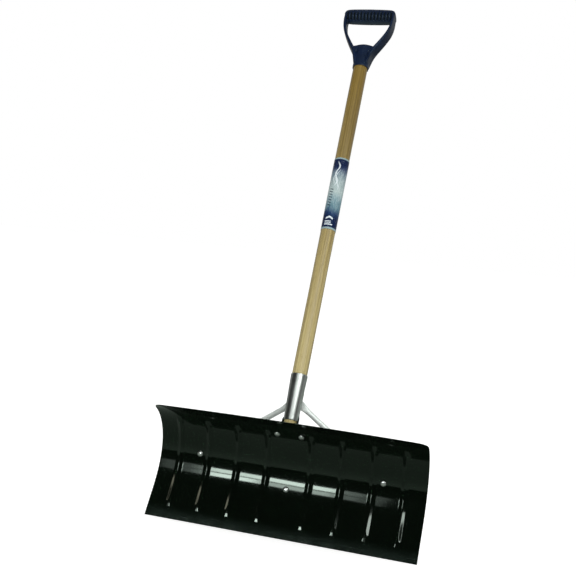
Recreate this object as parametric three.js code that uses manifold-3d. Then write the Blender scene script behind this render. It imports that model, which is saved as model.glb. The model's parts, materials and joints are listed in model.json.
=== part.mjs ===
// Snow shovel (snow pusher): a wide curved steel blade with eight pressed ribs,
// a round wooden handle in a tapered steel ferrule, two tube braces and a D-grip.
//
// Units are millimetres and +Z is up.  The origin is the middle of the cutting
// edge's flat underside, the blade's hollow faces -Y and the handle leans back
// towards +Y.  Everything is laid out in the "shaft frame" (Z along the handle),
// and one group turns it into the working stance.

import * as THREE from 'three';
import { mergeVertices } from 'three/addons/utils/BufferGeometryUtils.js';
import Module from 'manifold-3d';

const wasm = await Module();
wasm.setup();
const { Manifold } = wasm;

// ---------------------------------------------------------------- dimensions
const LEAN_DEG = 25;            // handle's lean from the vertical in the working stance
const GAP = 0.35;               // assembly clearance between touching pieces

// blade
const BLADE_WIDTH = 610;        // 24 in
const SHEET_ARC = 305.2;        // sheet length along the curve, 12 in
const SHEET_T = 1.5;
const EDGE_ANGLE_DEG = 5.84;    // sheet's direction at the cutting edge, from the handle's axis
const CURVATURE = [0.00378, -0.0018, -0.00685, -0.00909, -0.00954, -0.00974]; // 1/mm, evenly spaced along the sheet
const CROWN = 3.1;              // rise of the top edge's middle over its ends
const TOP_CORNER_R = 12;
const RIB_X = [49.5, 119, 188.5, 257];
const RIB_HALF_W = 9;
const RIB_H = 4;
const RIB_S = [0.092, 0.128, 0.765, 0.802];   // rib foot, full height, full height, foot, as parts of the arc

// bolts through the blade: X and the part of the arc
const TOP_BOLT = { x: 27.4, s: 0.7685 };
const SIDE_BOLT = { x: 210.2, s: 0.5064 };
const CENTRE_BOLT = { x: 0, s: 0.3548 };
const BOLT_R = 3.15;            // 1/4 in carriage bolts
const BOLT_HEAD_R = 6.6;
const NECK = 6.4;               // square neck
const BOLT_LEN = 15;
const WASHER_R = 8;
const WASHER_T = 1.2;
const NUT_AF = 11.1;
const NUT_T = 5.2;

// handle
const AXIS_Y = -59.7;           // handle's axis in the shaft frame
const HANDLE_R = 17.1;
const HANDLE_FOOT_R = 13.8;
const HANDLE_FOOT_Z = 228.6;
const TENON_R = 15.1;
const TENON_TOP = 1197;

// ferrule
const FERRULE_Z = [243.5, 347];
const FERRULE_R = [15.6, 18.6]; // outer radius at the bottom and the top
const FERRULE_T = 1.1;

// bracket
const PLATE_T = 2.5;
const STRAP_T = 2;
const STRAP_TOP = 318;

// braces
const TUBE_R = 6.35;            // 1/2 in tube
const FLAT_W = 18.5;
const FLAT_T = 2.4;
const BRACE_Z = 292.6;          // common screw behind the handle
const BRACE_Y = -37.6;

// label and grip
const LABEL_Z = [696, 881];
const RIM_Z = 1146;
const BAR_Z = 1302.5;
const GRIP_SCREW_Z = 1178;

// ---------------------------------------------------------------- helpers
const lerp = (a, b, t) => a + (b - a) * t;
const smooth = (a, b, v) => { const t = Math.min(1, Math.max(0, (v - a) / (b - a))); return t * t * (3 - 2 * t); };
const table = (rows, v) => {
  if (v <= rows[0][0]) return rows[0][1];
  for (let i = 1; i < rows.length; i++) if (v <= rows[i][0]) return lerp(rows[i - 1][1], rows[i][1], (v - rows[i - 1][0]) / (rows[i][0] - rows[i - 1][0]));
  return rows[rows.length - 1][1];
};

function closed(positions, indices) {
  let volume = 0;
  const a = new THREE.Vector3(), b = new THREE.Vector3(), c = new THREE.Vector3();
  for (let i = 0; i < indices.length; i += 3) {
    a.fromArray(positions, indices[i] * 3); b.fromArray(positions, indices[i + 1] * 3); c.fromArray(positions, indices[i + 2] * 3);
    volume += a.dot(b.cross(c));
  }
  if (volume < 0) for (let i = 0; i < indices.length; i += 3) [indices[i + 1], indices[i + 2]] = [indices[i + 2], indices[i + 1]];
  const g = new THREE.BufferGeometry();
  g.setAttribute('position', new THREE.Float32BufferAttribute(positions, 3));
  g.setIndex(indices);
  return g;
}

// a thin-walled solid between two parametric surfaces a(i, j) and b(i, j)
function shell(nu, nv, a, b) {
  const positions = [], indices = [];
  for (const f of [a, b]) for (let j = 0; j < nv; j++) for (let i = 0; i < nu; i++) positions.push(...f(i, j));
  const A = (i, j) => j * nu + i, B = (i, j) => nu * nv + j * nu + i;
  const quad = (p, q, r, s) => indices.push(p, q, r, p, r, s);
  for (let j = 0; j < nv - 1; j++) for (let i = 0; i < nu - 1; i++) {
    quad(A(i, j), A(i + 1, j), A(i + 1, j + 1), A(i, j + 1));
    quad(B(i, j), B(i, j + 1), B(i + 1, j + 1), B(i + 1, j));
  }
  for (let i = 0; i < nu - 1; i++) {
    quad(A(i + 1, 0), A(i, 0), B(i, 0), B(i + 1, 0));
    quad(A(i, nv - 1), A(i + 1, nv - 1), B(i + 1, nv - 1), B(i, nv - 1));
  }
  for (let j = 0; j < nv - 1; j++) {
    quad(A(0, j), A(0, j + 1), B(0, j + 1), B(0, j));
    quad(A(nu - 1, j + 1), A(nu - 1, j), B(nu - 1, j), B(nu - 1, j + 1));
  }
  return closed(positions, indices);
}

// a solid through closed rings of points, with fan caps
function loft(rings) {
  const n = rings[0].length, positions = [], indices = [];
  for (const ring of rings) for (const p of ring) positions.push(p.x, p.y, p.z);
  for (let k = 0; k < rings.length - 1; k++) for (let i = 0; i < n; i++) {
    const i2 = (i + 1) % n, p = k * n + i, q = k * n + i2, r = (k + 1) * n + i2, s = (k + 1) * n + i;
    indices.push(p, q, r, p, r, s);
  }
  const centre = ring => ring.reduce((m, p) => m.add(p), new THREE.Vector3()).divideScalar(n);
  const c0 = rings.length * n, c1 = c0 + 1, last = (rings.length - 1) * n;
  const m0 = centre(rings[0]), m1 = centre(rings[rings.length - 1]);
  positions.push(m0.x, m0.y, m0.z, m1.x, m1.y, m1.z);
  for (let i = 0; i < n; i++) {
    indices.push(c0, (i + 1) % n, i);
    indices.push(c1, last + i, last + (i + 1) % n);
  }
  return closed(positions, indices);
}

function toSolid(geometry) {
  let g = geometry.clone();
  for (const name of Object.keys(g.attributes)) if (name !== 'position') g.deleteAttribute(name);
  g = mergeVertices(g, 1e-4);
  const tri = [], idx = g.index.array;
  for (let i = 0; i < idx.length; i += 3) if (idx[i] !== idx[i + 1] && idx[i + 1] !== idx[i + 2] && idx[i] !== idx[i + 2]) tri.push(idx[i], idx[i + 1], idx[i + 2]);
  return new Manifold(new wasm.Mesh({ numProp: 3, vertProperties: new Float32Array(g.attributes.position.array), triVerts: new Uint32Array(tri) }));
}
function toGeometry(solid) {
  const m = solid.getMesh();
  const g = new THREE.BufferGeometry();
  const p = new Float32Array(m.numVert * 3);
  for (let i = 0; i < m.numVert; i++) for (let k = 0; k < 3; k++) p[i * 3 + k] = m.vertProperties[i * m.numProp + k];
  g.setAttribute('position', new THREE.BufferAttribute(p, 3));
  g.setIndex(new THREE.BufferAttribute(new Uint32Array(m.triVerts), 1));
  return g;
}
const cut = (base, ...tools) => toGeometry(tools.reduce((m, t) => m.subtract(toSolid(t)), toSolid(base)));
const join = (base, ...more) => toGeometry(more.reduce((m, t) => m.add(toSolid(t)), toSolid(base)));

// lathe about Z instead of Y
const lathe = (profile, segments = 24) => new THREE.LatheGeometry(profile.map(([r, z]) => new THREE.Vector2(r, z)), segments).rotateX(Math.PI / 2);

const group = new THREE.Group();
const shaft = new THREE.Group();
const lean = THREE.MathUtils.degToRad(LEAN_DEG);
shaft.rotation.x = -lean;
group.add(shaft);

const finish = {
  blackPaint: { color: 0x0a120e, roughness: 0.16, metalness: 0.2 },
  wood: { color: 0x9a7c48, roughness: 0.5, metalness: 0 },
  navy: { color: 0x0c1430, roughness: 0.45, metalness: 0 },
  galvanised: { color: 0xaeb4b2, roughness: 0.32, metalness: 0.95 },
  zinc: { color: 0xb8bdbb, roughness: 0.25, metalness: 1 },
  film: { color: 0x49658c, roughness: 0.35, metalness: 0 },
};
function add(name, geometry, look) {
  geometry.computeVertexNormals();
  const mesh = new THREE.Mesh(geometry, new THREE.MeshStandardMaterial(finish[look]));
  mesh.name = name;
  shaft.add(mesh);
  return mesh;
}

// ---------------------------------------------------------------- blade
const STEPS = 600;
const curve = [];
{
  let y = 0, z = 0, th = THREE.MathUtils.degToRad(EDGE_ANGLE_DEG);
  const ds = SHEET_ARC / STEPS;
  for (let i = 0; i <= STEPS; i++) {
    curve.push([y, z, th]);
    const u = (i + 0.5) / STEPS * (CURVATURE.length - 1), k = Math.min(Math.floor(u), CURVATURE.length - 2);
    const kappa = lerp(CURVATURE[k], CURVATURE[k + 1], u - k);
    const mid = th + kappa * ds / 2;
    y += Math.sin(mid) * ds; z += Math.cos(mid) * ds; th += kappa * ds;
  }
}
function profile(s) {
  const u = Math.min(Math.max(s, 0), 1) * STEPS, i = Math.min(Math.floor(u), STEPS - 1), t = u - i;
  return [0, 1, 2].map(k => lerp(curve[i][k], curve[i + 1][k], t));
}
const top = profile(1), chord = Math.hypot(top[0], top[1]);
const chordDir = [top[0] / chord, top[1] / chord];
// point at X and s on the sheet, `back` mm behind its front face
function onSheet(x, s, back) {
  const [y, z, th] = profile(s);
  const f = Math.max(0, (s - 0.5) / 0.5) ** 2 * CROWN * (1 - (2 * x / BLADE_WIDTH) ** 2);
  return [x, y + Math.cos(th) * back + chordDir[0] * f, z - Math.sin(th) * back + chordDir[1] * f];
}
const ribs = RIB_X.flatMap(x => [-x, x]).sort((a, b) => a - b);
function ribHeight(x, s) {
  const along = smooth(RIB_S[0], RIB_S[1], s) * (1 - smooth(RIB_S[2], RIB_S[3], s));
  for (const c of ribs) {
    const d = Math.abs(x - c) / RIB_HALF_W;
    if (d < 1) return RIB_H * along * (0.5 + 0.5 * Math.cos(Math.PI * d));
  }
  return 0;
}
const rows = [0, 0.092, 0.11, 0.128, 0.2, 0.27, 0.34, 0.41, 0.48, 0.54, 0.6, 0.66, 0.72, 0.765, 0.784, 0.802, 0.85, 0.905, 0.961, 0.983, 1];
const columns = [0];
for (const c of RIB_X) columns.push(c - 9, c - 5, c, c + 5, c + 9);
columns.push(BLADE_WIDTH / 2 - TOP_CORNER_R - 2, BLADE_WIDTH / 2);
const xs = [...columns.slice(1).map(x => -x).reverse(), ...columns];
function halfWidth(s) {
  const d = (1 - s) * SHEET_ARC, R = TOP_CORNER_R;
  return BLADE_WIDTH / 2 - (d >= R ? 0 : R - Math.sqrt(Math.max(0, R * R - (R - d) ** 2)));
}
const edgeSlope = lean + THREE.MathUtils.degToRad(EDGE_ANGLE_DEG);
const FOOT = SHEET_T / Math.cos(edgeSlope);        // depth of the flat underside of the cutting edge
function bladePoint(i, j, back) {
  const s = rows[j];
  const outer = i === 0 ? -halfWidth(s) : i === xs.length - 1 ? halfWidth(s) : xs[i];
  if (j === 0 && back) return [outer, FOOT * Math.cos(lean), FOOT * Math.sin(lean)];
  return onSheet(outer, s, (back ? SHEET_T : 0) - ribHeight(outer, s));
}
// square tool with its axis along the sheet's normal
function atSheet(geometry, x, s, back = 0) {
  const th = profile(s)[2], p = onSheet(x, s, back);
  const Z = new THREE.Vector3(0, Math.cos(th), -Math.sin(th)), X = new THREE.Vector3(1, 0, 0), Y = new THREE.Vector3().crossVectors(Z, X);
  return geometry.applyMatrix4(new THREE.Matrix4().makeBasis(X, Y, Z).setPosition(...p));
}
const squareHole = (x, s) => atSheet(new THREE.BoxGeometry(NECK + 0.7, NECK + 0.7, 14), x, s);
const bolts = [
  ['top_bolt_left', -TOP_BOLT.x, TOP_BOLT.s], ['top_bolt_right', TOP_BOLT.x, TOP_BOLT.s],
  ['side_bolt_left', -SIDE_BOLT.x, SIDE_BOLT.s], ['side_bolt_right', SIDE_BOLT.x, SIDE_BOLT.s],
  ['centre_bolt', CENTRE_BOLT.x, CENTRE_BOLT.s],
];
add('blade', cut(shell(xs.length, rows.length, (i, j) => bladePoint(i, j, false), (i, j) => bladePoint(i, j, true)),
  ...bolts.map(([, x, s]) => squareHole(x, s))), 'blackPaint');

// ---------------------------------------------------------------- bolts, washers, nuts
const roundHole = (r, length = 30) => new THREE.CylinderGeometry(r, r, length, 14).rotateX(Math.PI / 2);
const STACK = SHEET_T + GAP + PLATE_T;             // back of the plate or brace end on the bolt
for (const [name, x, s] of bolts) {
  const head = lathe([[0, -3.6], [2.6, -3.35], [4.8, -2.55], [BOLT_HEAD_R - 0.4, -1.3], [BOLT_HEAD_R, -0.5], [BOLT_R, -0.5],
    [BOLT_R, BOLT_LEN - 0.7], [BOLT_R - 0.7, BOLT_LEN], [0, BOLT_LEN]], 14);
  const neck = new THREE.BoxGeometry(NECK, NECK, 2).translate(0, 0, 0.4);
  add(name, atSheet(join(head, neck), x, s), 'zinc');
  const stem = name.replace('bolt', '').replace('__', '_').replace(/_$/, '');
  const ring = new THREE.Shape().absarc(0, 0, WASHER_R, 0, Math.PI * 2, false);
  ring.holes.push(new THREE.Path().absarc(0, 0, BOLT_R + 0.35, 0, Math.PI * 2, true));
  const washer = new THREE.ExtrudeGeometry(ring, { depth: WASHER_T, bevelEnabled: false, curveSegments: 7 }).translate(0, 0, STACK + GAP);
  add(`${stem}_washer`, atSheet(washer, x, s), 'zinc');
  const hex = new THREE.Shape();
  for (let k = 0; k < 6; k++) { const a = Math.PI / 6 + k * Math.PI / 3, R = NUT_AF / 2 / Math.cos(Math.PI / 6); k ? hex.lineTo(R * Math.cos(a), R * Math.sin(a)) : hex.moveTo(R * Math.cos(a), R * Math.sin(a)); }
  hex.closePath();
  hex.holes.push(new THREE.Path().absarc(0, 0, BOLT_R + 0.32, 0, Math.PI * 2, true));
  const nut = new THREE.ExtrudeGeometry(hex, { depth: NUT_T, bevelEnabled: false, curveSegments: 7 }).translate(0, 0, STACK + GAP * 2 + WASHER_T);
  add(`${stem}_nut`, atSheet(nut, x, s), 'zinc');
}

// ---------------------------------------------------------------- handle
const onAxis = g => g.translate(0, AXIS_Y, 0);
const ferruleR = z => lerp(FERRULE_R[0], FERRULE_R[1], (z - FERRULE_Z[0]) / (FERRULE_Z[1] - FERRULE_Z[0]));
const SCREW_R = 3;
const screwHole = (r, y0, y1) => new THREE.CylinderGeometry(r, r, y1 - y0, 16).translate(0, (y0 + y1) / 2, BRACE_Z);
const gripHole = (r, y0, y1) => new THREE.CylinderGeometry(r, r, y1 - y0, 12).translate(0, (y0 + y1) / 2, GRIP_SCREW_Z);
const wood = onAxis(lathe([[0, HANDLE_FOOT_Z], [12.9, HANDLE_FOOT_Z], [HANDLE_FOOT_R, HANDLE_FOOT_Z + 1.2], [14.0, 246], [15.4, 295], [16.9, 346], [HANDLE_R, 362],
  [HANDLE_R, RIM_Z + 12], [TENON_R, RIM_Z + 14.5], [TENON_R - 0.1, TENON_TOP - 1.5], [TENON_R - 1.5, TENON_TOP], [0, TENON_TOP]], 32));
add('handle', cut(wood, screwHole(SCREW_R + 0.32, AXIS_Y - 7, AXIS_Y + 30), gripHole(1.95, AXIS_Y + 1, AXIS_Y + 30)), 'wood');

// ---------------------------------------------------------------- ferrule
// angle 0 is the back of the handle (+Y), positive towards +X
const polar = (r, a, z) => [r * Math.sin(a), AXIS_Y + r * Math.cos(a), z];
const SEAM = THREE.MathUtils.degToRad(72), SEAM_HALF = THREE.MathUtils.degToRad(1.2);
{
  const nu = 37, zs = [FERRULE_Z[0], 295, FERRULE_Z[1]];
  const ang = i => lerp(SEAM + SEAM_HALF, SEAM + 2 * Math.PI - SEAM_HALF, i / (nu - 1));
  add('ferrule', cut(shell(nu, zs.length, (i, j) => polar(ferruleR(zs[j]), ang(i), zs[j]), (i, j) => polar(ferruleR(zs[j]) - FERRULE_T, ang(i), zs[j])),
    screwHole(SCREW_R + 0.35, AXIS_Y + 4, AXIS_Y + 30)), 'galvanised');
}

// ---------------------------------------------------------------- bracket behind the handle's foot
{
  const ss = [0.316, 0.32, 0.328, 0.338, 0.37, 0.41, 0.45, 0.49, 0.53, 0.57, 0.61, 0.65, 0.69, 0.712, 0.724, 0.736, 0.746, 0.76, 0.78, 0.796, 0.805, 0.812, 0.83, 0.845];
  const half = s => table([[0.316, 6], [0.32, 9], [0.328, 12], [0.338, 13], [0.69, 15], [0.712, 19], [0.724, 26], [0.736, 33], [0.746, 36], [0.76, 37.5], [0.78, 37.5], [0.796, 36], [0.805, 32.5], [0.812, 27], [0.83, 21], [0.845, 19]], s);
  const us = [-1, -0.5, 0, 0.5, 1];
  const plate = shell(us.length, ss.length, (i, j) => onSheet(us[i] * half(ss[j]), ss[j], SHEET_T + GAP + PLATE_T), (i, j) => onSheet(us[i] * half(ss[j]), ss[j], SHEET_T + GAP));
  const zs = [204, 222, 230, 236, 241, 246, 251, 256, 280, STRAP_TOP - 8, STRAP_TOP - 3, STRAP_TOP];
  const arc = z => THREE.MathUtils.degToRad(table([[204, 104], [236, 100], [241, 92], [246, 74], [251, 58], [256, 52], [280, 50], [STRAP_TOP - 8, 50], [STRAP_TOP - 3, 43], [STRAP_TOP, 30]], z));
  const nu = 17;
  const flare = (a, z) => Math.max(0, (240 - z) / 14) ** 1.5 * 1.6 * smooth(1.0, 1.75, Math.abs(a));
  const at = (i, j, extra) => { const a = arc(zs[j]) * (2 * i / (nu - 1) - 1), z = zs[j]; return polar(ferruleR(z) + GAP + 0.3 + extra + flare(a, z), a, z); };
  const trough = shell(nu, zs.length, (i, j) => at(i, j, STRAP_T), (i, j) => at(i, j, 0));
  const es = [0.5, 0.6, 0.66, 0.72, 0.76, 0.8, 0.84, 0.88, 0.92, 1];
  const ex = [-70, -35, 0, 35, 70];
  const under = shell(ex.length, es.length, (i, j) => onSheet(ex[i], es[j], SHEET_T + GAP), (i, j) => onSheet(ex[i], es[j], -26));
  const body = toSolid(trough).subtract(toSolid(under)).add(toSolid(plate));
  let g = toGeometry(body);
  g = cut(g, screwHole(SCREW_R + 0.35, AXIS_Y + 4, AXIS_Y + 40),
    ...bolts.filter(b => !b[0].startsWith('side')).map(([, x, s]) => atSheet(roundHole(BOLT_R + 0.4), x, s)));
  add('handle_bracket', g, 'blackPaint');
}

// ---------------------------------------------------------------- braces
const strapBack = AXIS_Y + ferruleR(BRACE_Z) + GAP + 0.3 + STRAP_T;      // back of the bracket's strap at the screw
const sideSheet = { th: profile(SIDE_BOLT.s)[2] };
const sideNormal = new THREE.Vector3(0, Math.cos(sideSheet.th), -Math.sin(sideSheet.th));
function brace(side, topY) {
  const A = new THREE.Vector3(0, BRACE_Y, BRACE_Z);
  const flatB = new THREE.Vector3(...onSheet(side * SIDE_BOLT.x, SIDE_BOLT.s, SHEET_T + GAP + 0.05 + FLAT_T / 2));
  const B = flatB.clone().addScaledVector(sideNormal, TUBE_R - FLAT_T / 2);
  const T = new THREE.Vector3(0, topY, BRACE_Z);
  const axis = B.clone().sub(A), length = axis.length();
  axis.normalize();
  const topDir = new THREE.Vector3(axis.x, 0, axis.z).normalize();
  const lowDir = axis.clone().addScaledVector(sideNormal, -axis.dot(sideNormal)).normalize();
  const centre = d => {
    const tube = A.clone().addScaledVector(axis, d);
    const t = T.clone().addScaledVector(topDir, d), b = flatB.clone().addScaledVector(lowDir, d - length);
    return tube.lerp(t, 1 - smooth(15, 40, d)).lerp(b, smooth(length - 42, length - 15, d));
  };
  const R = FLAT_W / 2;
  const ds = [-R, -R + 1, -6, 0, 12, 18, 24, 31, 40, length - 42, length - 34, length - 27, length - 20, length - 13, length, length + 6, length + R - 1, length + R];
  const rings = ds.map(d => {
    const c = centre(d), e = 0.5;
    const tangent = centre(d + e).sub(centre(d - e)).normalize();
    const n = new THREE.Vector3(0, 1, 0).lerp(sideNormal, d / length).addScaledVector(tangent, 0);
    n.addScaledVector(tangent, -n.dot(tangent)).normalize();
    const w = new THREE.Vector3().crossVectors(tangent, n);
    const round = smooth(12, 36, d) * (1 - smooth(length - 38, length - 12, d));
    let over = 0;
    if (d < 0) over = -d; if (d > length) over = d - length;
    const endW = Math.sqrt(Math.max(0.5, R * R - over * over));
    const a = lerp(endW, TUBE_R, round), b = lerp(FLAT_T / 2, TUBE_R, round), p = lerp(0.32, 1, round);
    const ring = [];
    for (let k = 0; k < 12; k++) {
      const f = (k + 0.5) / 12 * Math.PI * 2, cf = Math.cos(f), sf = Math.sin(f);
      ring.push(c.clone().addScaledVector(w, a * Math.sign(cf) * Math.abs(cf) ** p).addScaledVector(n, b * Math.sign(sf) * Math.abs(sf) ** p));
    }
    return ring;
  });
  return cut(loft(rings), screwHole(SCREW_R + 0.35, topY - 6, topY + 6), atSheet(roundHole(BOLT_R + 0.4, 24), side * SIDE_BOLT.x, SIDE_BOLT.s));
}
const leftY = strapBack + GAP + FLAT_T / 2, rightY = leftY + FLAT_T + GAP;
add('brace_left', brace(-1, leftY), 'galvanised');
add('brace_right', brace(1, rightY), 'galvanised');
{
  const y0 = rightY + FLAT_T / 2 + GAP;
  const toBack = g => g.rotateX(-Math.PI / 2).translate(0, 0, BRACE_Z);     // local +Z becomes +Y
  const ring = new THREE.Shape().absarc(0, 0, 8, 0, Math.PI * 2, false);
  ring.holes.push(new THREE.Path().absarc(0, 0, SCREW_R + 0.35, 0, Math.PI * 2, true));
  add('brace_screw_washer', toBack(new THREE.ExtrudeGeometry(ring, { depth: WASHER_T, bevelEnabled: false, curveSegments: 7 })).translate(0, y0, 0), 'zinc');
  const y1 = y0 + WASHER_T + GAP;
  const hex = new THREE.Shape();
  for (let k = 0; k < 6; k++) { const a = k * Math.PI / 3; k ? hex.lineTo(6.3 * Math.cos(a), 6.3 * Math.sin(a)) : hex.moveTo(6.3, 0); }
  hex.closePath();
  const head = toBack(new THREE.ExtrudeGeometry(hex, { depth: 4.2, bevelEnabled: false })).translate(0, y1, 0);
  const tip = AXIS_Y - 6;
  const shank = toBack(lathe([[0, tip], [1.2, tip + 0.6], [SCREW_R, tip + 4], [SCREW_R, y1 + 1], [0, y1 + 1]], 16));
  add('brace_screw', join(head, shank), 'zinc');
}

// ---------------------------------------------------------------- label: printed film round the handle
{
  const nu = 33, half = THREE.MathUtils.degToRad(176);
  const ang = i => Math.PI - half + 2 * half * i / (nu - 1);
  add('label', shell(nu, 2, (i, j) => polar(HANDLE_R + 0.55, ang(i), LABEL_Z[j]), (i, j) => polar(HANDLE_R + 0.3, ang(i), LABEL_Z[j])), 'film');
}

// ---------------------------------------------------------------- D-grip
{
  const section = (c, u, v, a, b, p, n) => {
    const ring = [];
    for (let k = 0; k < n; k++) {
      const f = (k + 0.5) / n * Math.PI * 2, cf = Math.cos(f), sf = Math.sin(f);
      ring.push(c.clone().addScaledVector(u, a * Math.sign(cf) * Math.abs(cf) ** p).addScaledVector(v, b * Math.sign(sf) * Math.abs(sf) ** p));
    }
    return ring;
  };
  const Y = new THREE.Vector3(0, 1, 0), Z = new THREE.Vector3(0, 0, 1);
  const halfZ = [[0, 18.2], [30, 17.8], [48, 17.2], [56, 16.4], [61, 14.6], [65, 11.2], [67.4, 7], [68.6, 2]];
  const halfY = [[0, 16.6], [30, 16.2], [48, 15.4], [56, 14.8], [61, 13.8], [65, 12.4], [67.4, 10.8], [68.6, 9]];
  const bx = [0, 24, 44, 56, 61, 65, 67.4, 68.6];
  const stations = [...bx.slice(1).map(x => -x).reverse(), ...bx];
  const bar = loft(stations.map(x => section(new THREE.Vector3(x, AXIS_Y, BAR_Z), Y, Z, table(halfY, Math.abs(x)), table(halfZ, Math.abs(x)), 0.92, 16)));
  // x, z, thickness, depth of each arm
  const arm = [[61.5, 1307, 10, 25], [64.6, 1298, 8, 26], [65.2, 1288, 6.8, 26], [64.2, 1275, 6.4, 25], [61, 1262, 6.2, 23.5], [55.6, 1249, 6.2, 22.5], [47.6, 1233, 6.4, 22],
    [38.6, 1216, 6.8, 22.5], [30.4, 1200, 7.6, 24], [23.2, 1185, 8.6, 25.5], [17, 1170, 9, 27], [13.2, 1156, 8, 28]];
  const arms = [-1, 1].map(side => {
    const path = new THREE.CatmullRomCurve3(arm.map(([x, z]) => new THREE.Vector3(side * x, AXIS_Y, z)), false, 'centripetal');
    const n = 13, rings = [];
    for (let k = 0; k <= n; k++) {
      const t = k / n, c = path.getPoint(t), tan = path.getTangent(t);
      const u = new THREE.Vector3().crossVectors(tan, Y).normalize();
      const q = t * (arm.length - 1), i = Math.min(Math.floor(q), arm.length - 2), f = q - i;
      rings.push(section(c, u, Y, lerp(arm[i][2], arm[i + 1][2], f) / 2, lerp(arm[i][3], arm[i + 1][3], f) / 2, 0.6, 12));
    }
    return loft(rings);
  });
  const socket = onAxis(lathe([[0, RIM_Z], [19.0, RIM_Z], [19.5, RIM_Z + 0.6], [19.6, RIM_Z + 6], [19.4, 1170], [19, 1188], [18, 1197], [15.6, 1203], [11.5, 1207], [6, 1208.8], [0, 1209.2]], 32));
  const bore = onAxis(lathe([[0, RIM_Z - 8], [HANDLE_R + GAP, RIM_Z - 8], [HANDLE_R + GAP, RIM_Z + 12.3], [TENON_R + GAP, RIM_Z + 15], [TENON_R + GAP, TENON_TOP + 0.8], [0, TENON_TOP + 0.8]], 32));
  let g = join(bar, ...arms, socket);
  g = cut(g, bore, gripHole(1.95, AXIS_Y + 4, AXIS_Y + 30));
  add('d_grip', g, 'navy');
  const y1 = AXIS_Y + 19.6 + 0.45;
  const screw = lathe([[0, AXIS_Y + 3], [0.8, AXIS_Y + 3.6], [1.6, AXIS_Y + 7], [1.6, y1], [3.6, y1], [3.5, y1 + 0.7], [2.5, y1 + 1.4], [0, y1 + 1.8]], 16)
    .rotateX(-Math.PI / 2).translate(0, 0, GRIP_SCREW_Z);
  add('grip_screw', screw, 'zinc');
}

group.position.set(0, -FOOT / 2, 0);
export default group;
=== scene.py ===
import json
import math

import bmesh
import bpy
import numpy as np
from mathutils import Matrix, Vector

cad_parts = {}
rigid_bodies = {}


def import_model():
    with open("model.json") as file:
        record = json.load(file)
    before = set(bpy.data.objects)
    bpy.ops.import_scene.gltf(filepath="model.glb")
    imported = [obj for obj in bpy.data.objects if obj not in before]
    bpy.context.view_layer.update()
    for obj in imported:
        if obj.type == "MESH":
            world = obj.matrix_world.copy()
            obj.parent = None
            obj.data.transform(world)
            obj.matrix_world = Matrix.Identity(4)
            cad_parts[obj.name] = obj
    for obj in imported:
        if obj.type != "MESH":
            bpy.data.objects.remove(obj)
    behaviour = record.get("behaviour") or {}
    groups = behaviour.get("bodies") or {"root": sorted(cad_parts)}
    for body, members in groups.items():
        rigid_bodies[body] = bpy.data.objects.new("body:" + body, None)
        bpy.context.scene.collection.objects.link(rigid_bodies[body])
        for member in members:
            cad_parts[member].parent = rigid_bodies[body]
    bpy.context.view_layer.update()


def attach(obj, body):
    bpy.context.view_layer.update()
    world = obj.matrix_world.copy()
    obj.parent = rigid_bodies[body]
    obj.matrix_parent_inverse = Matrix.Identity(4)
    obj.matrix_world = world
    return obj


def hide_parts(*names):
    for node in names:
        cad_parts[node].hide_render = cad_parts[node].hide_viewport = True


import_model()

# ------------------------------------------------------------------ frames
# "shaft" coordinates are millimetres with Z along the handle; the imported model
# is metres with the handle leaning back by LEAN.
LEAN = math.radians(25)
CL, SL = math.cos(LEAN), math.sin(LEAN)
SHEET_T = 1.5
EDGE_ANGLE = math.radians(5.84)
FOOT = SHEET_T / math.cos(LEAN + EDGE_ANGLE)


def world(p):
    """shaft-frame points in millimetres to the row frame in metres"""
    p = np.asarray(p, float)
    x, y, z = p[..., 0], p[..., 1], p[..., 2]
    return np.stack([x, y * CL + z * SL - FOOT / 2, -y * SL + z * CL], -1) / 1000.0


# ------------------------------------------------------------------ mesh tools
def lerp(a, b, t):
    return a + (b - a) * t


def smooth(a, b, v):
    t = np.clip((np.asarray(v, float) - a) / (b - a), 0, 1)
    return t * t * (3 - 2 * t)


def make(name, verts, faces, angle=38, shaft=True, cleanup=True):
    me = bpy.data.meshes.new(name)
    me.from_pydata((world(verts) if shaft else np.asarray(verts)).tolist(), [], [list(f) for f in faces])
    bm = bmesh.new()
    bm.from_mesh(me)
    if cleanup:
        bmesh.ops.remove_doubles(bm, verts=bm.verts, dist=1e-7)
    bmesh.ops.recalc_face_normals(bm, faces=bm.faces)
    bm.to_mesh(me)
    bm.free()
    me.shade_smooth()
    if angle:
        me.set_sharp_from_angle(angle=math.radians(angle))
    o = bpy.data.objects.new(name, me)
    bpy.context.scene.collection.objects.link(o)
    return o


def shell(name, a, b, angle=38, build=True):
    """closed thin-walled solid between two grids of points, arrays (nu, nv, 3)"""
    nu, nv = a.shape[:2]
    v = np.concatenate([a.reshape(-1, 3), b.reshape(-1, 3)])
    A = lambda i, j: i * nv + j
    B = lambda i, j: nu * nv + i * nv + j
    f = []
    for i in range(nu - 1):
        for j in range(nv - 1):
            f.append((A(i, j), A(i + 1, j), A(i + 1, j + 1), A(i, j + 1)))
            f.append((B(i, j), B(i, j + 1), B(i + 1, j + 1), B(i + 1, j)))
    for i in range(nu - 1):
        f.append((A(i + 1, 0), A(i, 0), B(i, 0), B(i + 1, 0)))
        f.append((A(i, nv - 1), A(i + 1, nv - 1), B(i + 1, nv - 1), B(i, nv - 1)))
    for j in range(nv - 1):
        f.append((A(0, j), A(0, j + 1), B(0, j + 1), B(0, j)))
        f.append((A(nu - 1, j + 1), A(nu - 1, j), B(nu - 1, j), B(nu - 1, j + 1)))
    return make(name, v, f, angle) if build else (v, f)


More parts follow.
